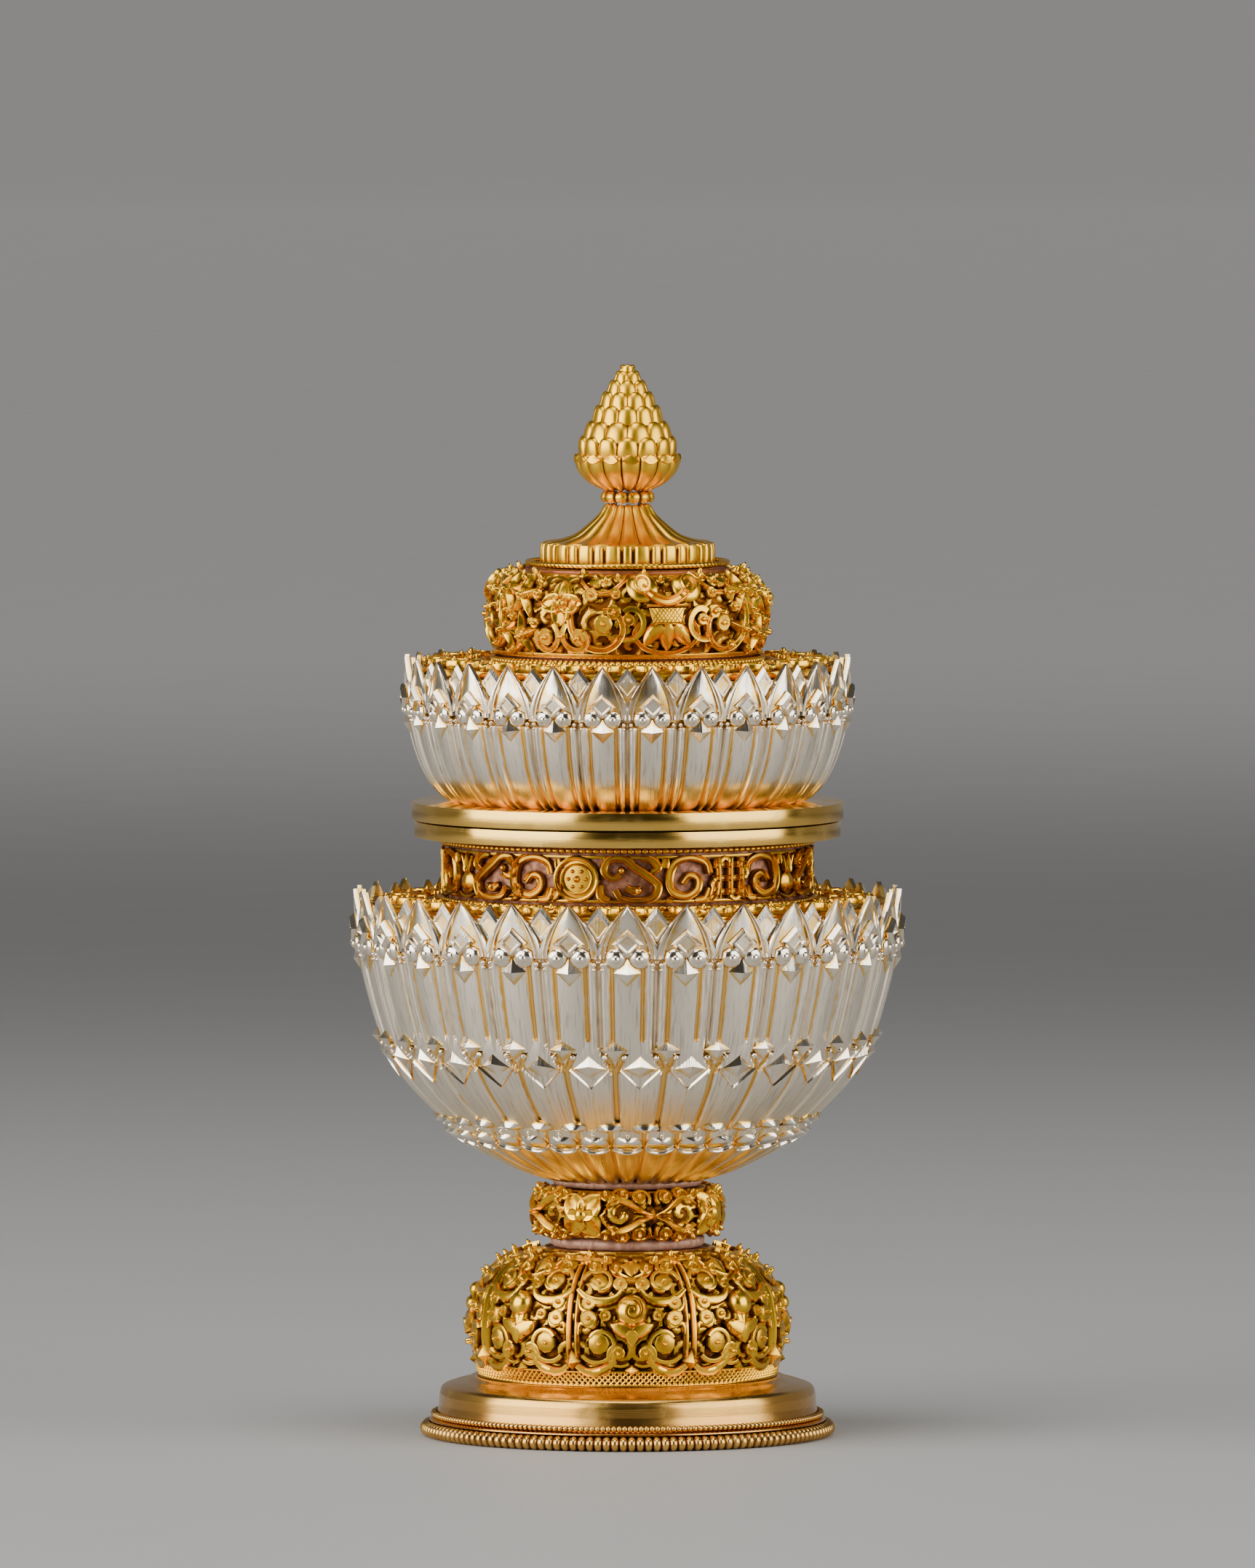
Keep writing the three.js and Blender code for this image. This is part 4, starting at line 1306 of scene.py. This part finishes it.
class VESSEL_OT_crown(bpy.types.Operator):
    """Make the pierced crown drum between its two ropes, over a copper lining"""

    bl_idname = "vessel.crown"
    bl_label = "Crown drum"
    bl_options = {"REGISTER", "UNDO"}

    def execute(self, context):
        m = finishes(context)
        bottom, top = low("crown_band"), high("crown_band")
        course = Course([(22.0, bottom), (22.9, 138.0), (23.3, 141), (23.1, 144.2), (22.0, 147.0),
                         (19.8, 148.8), (17.4, top - 0.4)])
        lining = Course([(21.4, bottom - 1.4), (21.9, 137), (22.5, 141), (22.3, 144), (21.2, 146.7),
                         (19.2, 148.2), (17.0, 148.9)])
        plain = relief_wall(lining, 8, 0, plain_relief, 20, 16, 0.8)
        add_piece("crown_lining", [plain], m["red_copper"], "lid", ["crown_sleeve"])
        lower_z = middle_height("crown_lower_rope")
        upper_z = middle_height("crown_upper_rope")
        lower = beaded_hoop(23.1, lower_z, 0.66, 140, 1.0, 0.62, 6, 10)
        outer = beaded_hoop(25.0, lower_z - 0.25, 0.42, 160, 1.0, 0.5, 6, 8)
        upper = beaded_hoop(17.2, upper_z, 0.5, 110, 1.0, 0.72, 6, 10, twist=1.0)
        add_piece("crown_lower_beads", [lower, outer], m["gold_scrolls"], "lid", ["crown_lower_rope"], 60)
        add_piece("crown_twisted_rope", [upper], m["gold_scrolls"], "lid", ["crown_upper_rope"], 60)
        rail = turned_wall([(21.6, bottom), (22.9, bottom), (23.1, bottom + 0.8), (21.8, bottom + 0.8)],
                           128)
        add_piece("crown_foot_rail", [rail], m["gold_scrolls"], "lid", ["crown_band"])
        plate_low, plate_top = low("crown_top_plate"), high("crown_top_plate")
        plate = [(2.3, plate_low), (17.6, plate_low), (17.6, plate_top - 0.1), (17.2, plate_top),
                 (16.4, plate_top - 0.15), (15.8, plate_top), (2.3, plate_top)]
        add_piece("crown_lid_plate", [turned_wall(plate, 128)], m["red_copper"], "lid", ["crown_top_plate"])
        self.scrollwork(course, m)
        return {"FINISHED"}

    def scrollwork(self, course, m):
        """Three sectors, each with a vase under a garland, a rosette, C-scrolls and a vine with studs."""
        middle = course.at_height(142.5)
        dice = np.random.default_rng(5)
        rows = enumerate((2.4, 6.4, 10.4, 14.0))
        grid = [(d, v) for row, v in rows for d in np.arange(-54 + 5.5 * (row % 2), 60, 11)]
        curls = [(d + dice.uniform(-2, 2), v + dice.uniform(-0.6, 0.6)) for d, v in grid]
        ground = scroll_ground(course, 450, 52, curls, 3, 0, 0.0, 0.45, 2.6, rims=(0.4, 1.5))
        add_piece("crown_ground", [ground], m["gold_scrolls"], "lid", crease=45)

        def lay(forms, place, shift=0.0):
            at = middle + shift
            return [course.lay(f, around(3, place), at, 0.6) for f in forms]

        vase, scrolls, vine, spray = self.vase(), self.c_scroll(), self.vine(), self.spray()
        sprays = ((57, -2.6), (58, 3.6), (-50, 3.0), (-50, -3.6))
        pieces = {
            "crown_vases": lay(vase, 16.5),
            "crown_rosettes": lay(self.rosettes(), -28.5),
            "crown_scrolls": lay(scrolls, -9) + lay([f.mirrored() for f in scrolls], 42),
            "crown_vines": lay(vine, -6, 3.4) + lay([f.mirrored() for f in vine], 38, 3.4),
            "crown_sprays": [f for place, shift in sprays for f in lay(spray, place, shift)],
        }
        for name, forms in pieces.items():
            add_piece(name, forms, m["gold_scrolls"], "lid", crease=40)
        shoulder = studs((0.95, 0.36, 0.9, 0, 0), (0.8, 0.34, 0.7, 2.6, -1.3))
        forms = [course.lay(f, around(12, 8), course.length - 2.4, 0.5) for f in shoulder]
        add_piece("crown_shoulder_studs", forms, m["gold_scrolls"], "lid", crease=40)

    def vase(self):
        """A hatched vase on three petals under a garland, with a ring at each shoulder."""
        lobe = petal(4.4, 3.0, 1.9, ROUND, 5.0)
        vase = [
            cut_form([(3.1, 1.3), (-3.1, 1.3), (-2.5, -1.0), (2.5, -1.0)],
                     [(0, -0.4), (1, -0.4), (1, 0.9), (0.94, 1.05), (0, 1.05)]),
            stroke_form([(-3.5, 1.6), (3.5, 1.6)], 0.6, 1.5),
            stroke_form([(-2.9, -1.2), (2.9, -1.2)], 0.6, 1.5),
            lobe.rotated(math.pi).moved(v=-1.3),
            lobe.rotated(2.45).moved(-1.2, -1.4),
            lobe.rotated(-2.45).moved(1.2, -1.4),
            scroll([(-4.2, 4.4), (-2.2, 2.9), (0, 2.2), (2.2, 2.9), (4.2, 4.4)], 1.7, 2.1, CHANNEL, 0.9,
                   0.9),
            scroll([(-4.6, -1.0), (-5.6, -3.0), (-4.4, -4.8), (-2.6, -5.8), (0, -6.2), (2.6, -5.8),
                    (4.4, -4.8), (5.6, -3.0), (4.6, -1.0)], 1.0, 1.1, CHANNEL, 0.8, 0.8),
        ]
        lattice = [stroke_form([(x, -0.9), (x + 1.6, 1.2)], 0.26, 1.3, RIDGE)
                   for x in np.arange(-2.7, 1.4, 0.66)]
        lattice += [f.mirrored() for f in lattice]
        eyes = [turned_form([(0, -0.4), (2.7, -0.4), (2.7, 0.8), (2.3, 1.15), (1.5, 1.25), (1.4, 1.9),
                             (1.25, 2.05), (1.0, 2.0), (0.85, 1.5), (0, 1.4)], 24).moved(u, 4.9)
                for u in (-4.0, 4.0)]
        return vase + lattice + eyes

    def c_scroll(self):
        """A large C-scroll with a small one in its mouth, and studs."""
        return [
            curl((-5.0, 3.2), (-0.4, -1.2), 1.75, 1.9, 34, 1.15, 1.2, CHANNEL),
            curl((2.4, -3.8), (3.8, -0.6), 1.3, 1.4, 20, 1.1, 1.15, FLAT),
            *studs((1.6, 0.42, 1.1, -0.4, -1.3), (1.25, 0.4, 1.0, 1.4, 0.6), (1.1, 0.4, 1.0, 3.8, -0.6),
                   (1.2, 0.4, 1.0, -2.6, 3.4), (1.0, 0.4, 1.2, 1.6, 3.6)),
        ]

    def vine(self):
        """A vine with a leaf spray and two studs."""
        vine = [
            scroll([(-6.0, 2.6), (-3.6, 0.4), (-0.6, 0.4), (1.6, 2.2), (2.6, 4.4)], 0.9, 1.05, CHANNEL,
                   0.7, 0.7),
            *studs((1.1, 0.4, 0.9, -1.4, 2.4), (0.9, 0.4, 0.9, 0.6, 3.2)),
        ]
        vine += [petal(2.4, 2.2, 1.3, ROUND, 3).rotated(a).moved(-2.2, 2.4) for a in (0.4, 1.8, -0.9)]
        return vine

    def rosettes(self):
        """A rosette with a ring of seeds, between two curls with studs."""
        flower = [rosette(3.7, 4, 1.35, 0).moved(v=1.9, h=0.2)]
        flower += [bead(0.34, 1.9).moved(1.15 * math.cos(a), 1.9 + 1.15 * math.sin(a))
                   for a in np.arange(8) * TURN / 8]
        corner = [
            curl((-1.2, -1.4), (-3.1, -3.6), -1.5, 1.4, 24, 1.1, 1.15, FLAT),
            *studs((1.5, 0.42, 1.0, -3.1, -3.6), (1.0, 0.4, 0.9, -5.2, 3.4), (1.1, 0.4, 0.9, -0.2, -3.4)),
        ]
        return flower + both_sides(corner)

    def spray(self):
        """Five leaves about a stud, with two smaller studs."""
        leaf = petal(3.6, 2.2, 1.35, RIDGE, 2.2)
        spray = [leaf.rotated(a).moved(0.7 * math.cos(a + 1.57), 0.7 * math.sin(a + 1.57))
                 for a in np.arange(5) * TURN / 5]
        spray += studs((1.15, 0.4, 1.3, 0, 0), (0.9, 0.36, 1.0, 3.4, 2.2), (0.9, 0.36, 1.0, -3.2, -2.4))
        return spray


class VESSEL_OT_finial(bpy.types.Operator):
    """Make the ribbed base, the bead collar and the scaled bud"""

    bl_idname = "vessel.finial"
    bl_label = "Finial"
    bl_options = {"REGISTER", "UNDO"}

    def execute(self, context):
        m = finishes(context)
        bottom = low("finial_base")
        gold = m["gold_finial"]
        self.base(bottom, gold)
        collar_z = middle_height("finial_bead_collar")
        collar = beaded_hoop(3.75, collar_z, 1.04, 12, 1.0, 0.62, 14, 12)
        add_piece("finial_beads", [collar], gold, "lid", ["finial_bead_collar"], 60)
        course = Course([(3.6, low("finial_bud")), (5.6, 164.6), (7.2, 166.2), (7.9, 168.6), (7.7, 171.0),
                         (6.9, 173), (5.7, 175), (4.2, 178), (2.9, 180.2), (1.1, 183), (0.2, 184.4)])
        cup = Course([(3.7, low("finial_bud")), (6.4, 164.6), (8.2, 166.5), (8.75, 168.6), (8.4, 169.2)])

        def cup_relief(x, t):
            side = np.abs(x) + 0 * t
            ridge = np.sqrt(np.clip(1 - (side / 0.49) ** 2, 0, 1))
            return 0.7 * ridge - 0.35, np.clip(ridge * 1.3, 0, 1)

        add_piece("finial_core", [self.core(course)], gold, "lid", ["finial_bud"])
        add_piece("finial_cup", [relief_wall(cup, 16, 4, cup_relief, 16, 20, 0.4)], gold, "lid", crease=40)
        lens = cut_form([(1.55, 0), (0.8, 0.55), (0, 0.75), (-0.8, 0.55), (-1.55, 0), (-0.8, -0.5),
                         (0, -0.65), (0.8, -0.5)], [(0, -0.5), (1, -0.5), (1, 0.3), (0.75, 0.55), (0, 0.4)])
        forms = [cup.lay(lens, around(16, 4), cup.at_height(168.5))]
        tiers = [(168.4, 14, 4.1), (171.4, 12, 4.0), (174.3, 11, 3.8), (176.9, 9, 3.5), (179.1, 7, 3.3),
                 (181.1, 5, 2.8), (182.9, 3, 1.8)]
        for i, (z, count, tall) in enumerate(tiers):
            at = course.at_height(z)
            girth = TURN * float(np.interp(at, course.along, course.radius)) / count
            turns = around(count, (180 / count) * (i % 2))
            forms.append(course.lay(self.scale_leaf(girth * 1.06, tall), turns, at, 0.35))
        add_piece("finial_scales", forms, gold, "lid", crease=45)
        dress(m["grey_steel"], "finial_stud", "finial_washer", "finial_nut")
        return {"FINISHED"}

    def scale_leaf(self, width, tall):
        """A thumb-shaped scale that leans out towards its rounded top: its half width is W (1 - s to
        the power 4) to the power 0.5, and its thickness grows with s and drops at the top."""
        s = np.array([0, 0.2, 0.4, 0.55, 0.7, 0.8, 0.88, 0.94, 0.98, 1.0])
        half = width * np.sqrt(np.clip(1.0 - s**4, 0.02, 1)) * (0.88 + 0.24 * s)
        section = symmetric([(1, -0.5), (0.97, 0.3), (0.78, 0.72), (0.4, 0.93), (0, 1)], -0.8)
        thick = (0.35 + 1.0 * s) * np.sqrt(1.02 - s**6)
        return stroke_form(np.stack([0 * s, s * tall], 1), half, thick, section)

    def core(self, course):
        """The bud's own body, closed at its foot and tip."""
        along = np.linspace(0, course.length, 40)
        radius = np.interp(along, course.along, course.radius)
        height = np.interp(along, course.along, course.height)
        radius = np.concatenate([[0], radius, [0]])
        height = np.concatenate([[height[0]], height, [high("finial_bud") - 0.05]])
        turn = all_turns(48)
        return grid_form(about_axis(radius, turn, height), 0.6, wrap_u=True)

    def base(self, bottom, gold):
        """A disc with wide and narrow ribs by turns on its edge, under a concave cone of broad flutes."""
        turn = all_turns(36 * 16)
        outline = np.array([(2.5, bottom), (14.9, bottom), (15.1, bottom + 0.4), (15.1, 153.2),
                            (14.9, 153.9), (14.0, 154.2), (12.4, 153.9), (11.2, 153.8), (2.5, 153.8)])
        phase = (turn * 18 / TURN) % 1
        wide = np.sqrt(np.clip(1 - (np.abs(phase - 0.5) / 0.27) ** 4, 0, 1))
        narrow = np.sqrt(np.clip(1 - (np.minimum(phase, 1 - phase) / 0.16) ** 4, 0, 1))
        rib = wide + 0.9 * narrow
        on_edge = np.array([0, 0.6, 1, 1, 1, 0.8, 0, 0, 0])
        lobes = np.array([0, 0, 0, 0.2, 0.5, 0.7, 0.3, 0, 0])
        radius = outline[:, 0] - (1 - rib) * 1.0 * on_edge
        height = outline[:, 1] + rib * 0.7 * lobes - 0.45 * lobes
        proud = np.clip(rib, 0.1, 1) * on_edge + (1 - on_edge) * 0.85
        disc = grid_form(about_axis(radius, turn, height), proud, wrap_u=True, wrap_v=True)
        cone = Course([(14.2, 153.6), (12.2, 153.9), (10.2, 154.5), (8.6, 155.3), (6.6, 157.0),
                       (4.9, 158.7), (3.9, 160.3), (3.6, 160.6)])

        def flutes(x, t):
            side = np.abs(x) + 0 * t
            ridge = np.sqrt(np.clip(1 - (side / 0.47) ** 2, 0, 1))
            deep = 0.45 + 0.55 * (1 - t)
            return deep * ridge - 0.25, np.clip(0.2 + 1.2 * ridge, 0, 1)

        add_piece("finial_disc", [disc], gold, "lid", ["finial_base"], 40)
        add_piece("finial_cone", [relief_wall(cone, 18, 2, flutes, 20, 34, 0.8)], gold, "lid", crease=40)


class VESSEL_OT_stem(bpy.types.Operator):
    """Give the hidden rod, washer and nuts their steel"""

    bl_idname = "vessel.stem"
    bl_label = "Hidden fastenings"
    bl_options = {"REGISTER", "UNDO"}

    def execute(self, context):
        m = finishes(context)
        dress(m["grey_steel"], "stem_rod", "stem_washer", "stem_lower_nut", "stem_upper_nut")
        return {"FINISHED"}


class VESSEL_OT_stage(bpy.types.Operator):
    """Make the floor, the lamps and the camera"""

    bl_idname = "vessel.stage"
    bl_label = "Studio"
    bl_options = {"REGISTER", "UNDO"}

    def execute(self, context):
        m = finishes(context)
        self.floor(m["studio_floor"])
        target = (0, 0, 0.1124)
        self.lamp("left_softbox", (-1.32, -0.72, 0.52), 1.9, 1.3, 48, target)
        self.lamp("right_softbox", (1.32, -0.72, 0.5), 1.8, 1.2, 31, target)
        self.lamp("top_softbox", (-0.1, -0.5, 1.5), 1.0, 1.0, 14, target)
        world = bpy.data.worlds.new("studio_air")
        world.use_nodes = True
        world.node_tree.nodes["Background"].inputs["Color"].default_value = (0.5, 0.5, 0.5, 1)
        world.node_tree.nodes["Background"].inputs["Strength"].default_value = 0.12
        bpy.context.scene.world = world
        self.camera(target)
        return {"FINISHED"}

    def floor(self, material):
        """A round sheet that lies flat and curves up at its edge: one outline turned about the vessel's
        axis."""
        bend = np.linspace(0, math.pi / 2, 20)
        flat, curve, top = [0, 0.4, 1.0, 2.0, 4.0, 7.0], 1.0, 5.0
        radius = np.concatenate([flat, flat[-1] + curve * np.sin(bend[1:]), [flat[-1] + curve]])
        height = np.concatenate([np.zeros(len(flat)), curve * (1 - np.cos(bend[1:])), [top]])
        turn = all_turns(96)
        form = grid_form(about_axis(radius, turn, height), 1.0, wrap_u=True)
        mesh = bpy.data.meshes.new("studio_sheet")
        mesh.from_pydata(form.corners.tolist(), [], form.quads[:, ::-1].tolist())
        mesh.shade_smooth()
        mesh.materials.append(material)
        sheet = bpy.data.objects.new("studio_sheet", mesh)
        bpy.context.scene.collection.objects.link(sheet)
        sheet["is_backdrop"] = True

    def lamp(self, name, place, width, height, power, target):
        data = bpy.data.lights.new(name, "AREA")
        data.shape = "RECTANGLE"
        data.size, data.size_y, data.energy = width, height, power
        lamp = bpy.data.objects.new(name, data)
        bpy.context.scene.collection.objects.link(lamp)
        self.aim(lamp, place, target)

    def aim(self, thing, place, target):
        """Places a lamp or camera and turns it to look at the target."""
        thing.location = place
        thing.rotation_euler = (Vector(target) - Vector(place)).to_track_quat("-Z", "Y").to_euler()

    def camera(self, target):
        """A long lens far away, a little above the vessel."""
        distance, eye_height, field_height = 3.6, 0.32, 0.2702
        data = bpy.data.cameras.new("studio_camera")
        data.sensor_width = 36
        data.lens = data.sensor_width * math.hypot(distance, eye_height - target[2]) / field_height
        data.clip_start, data.clip_end = 0.1, 30
        eye = bpy.data.objects.new("studio_camera", data)
        bpy.context.scene.collection.objects.link(eye)
        self.aim(eye, (0, -distance, eye_height), target)
        bpy.context.scene.camera = eye


OPERATORS = (
    VESSEL_OT_stage, VESSEL_OT_foot, VESSEL_OT_dome, VESSEL_OT_knop, VESSEL_OT_stem, VESSEL_OT_bowl,
    VESSEL_OT_decks, VESSEL_OT_neck, VESSEL_OT_lid, VESSEL_OT_crown, VESSEL_OT_finial,
)


class VESSEL_PT_panel(bpy.types.Panel):
    """Lists the vessel's settings and parts"""

    bl_idname = "VESSEL_PT_panel"
    bl_label = "Lotus vessel"
    bl_space_type = "VIEW_3D"
    bl_region_type = "UI"
    bl_category = "Vessel"

    def draw(self, context):
        for group in (context.scene.vessel_sizes, context.scene.vessel_colours):
            for name in group.bl_rna.properties.keys():
                if name not in ("rna_type", "name"):
                    self.layout.prop(group, name)
        for operator in OPERATORS:
            self.layout.operator(operator.bl_idname)


CLASSES = (VesselSizes, VesselColours, *OPERATORS, VESSEL_PT_panel)


def register():
    for cls in CLASSES:
        bpy.utils.register_class(cls)
    bpy.types.Scene.vessel_sizes = PointerProperty(type=VesselSizes)
    bpy.types.Scene.vessel_colours = PointerProperty(type=VesselColours)


def unregister():
    del bpy.types.Scene.vessel_sizes
    del bpy.types.Scene.vessel_colours
    for cls in reversed(CLASSES):
        bpy.utils.unregister_class(cls)


def write_sizes():
    """Builds the CAD box and the finished model's box as plain lists, which are not kept."""
    boxes = {"cad": CAD_BOX, "visual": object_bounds()}
    {name: [list(corner) for corner in box] for name, box in boxes.items()}


def main():
    register()
    bpy.ops.vessel.stage()
    bpy.ops.vessel.foot()
    bpy.ops.vessel.dome()
    bpy.ops.vessel.knop()
    bpy.ops.vessel.stem()
    bpy.ops.vessel.bowl()
    bpy.ops.vessel.decks()
    bpy.ops.vessel.neck()
    bpy.ops.vessel.lid()
    bpy.ops.vessel.crown()
    bpy.ops.vessel.finial()
    write_sizes()


if __name__ == "__main__":
    main()
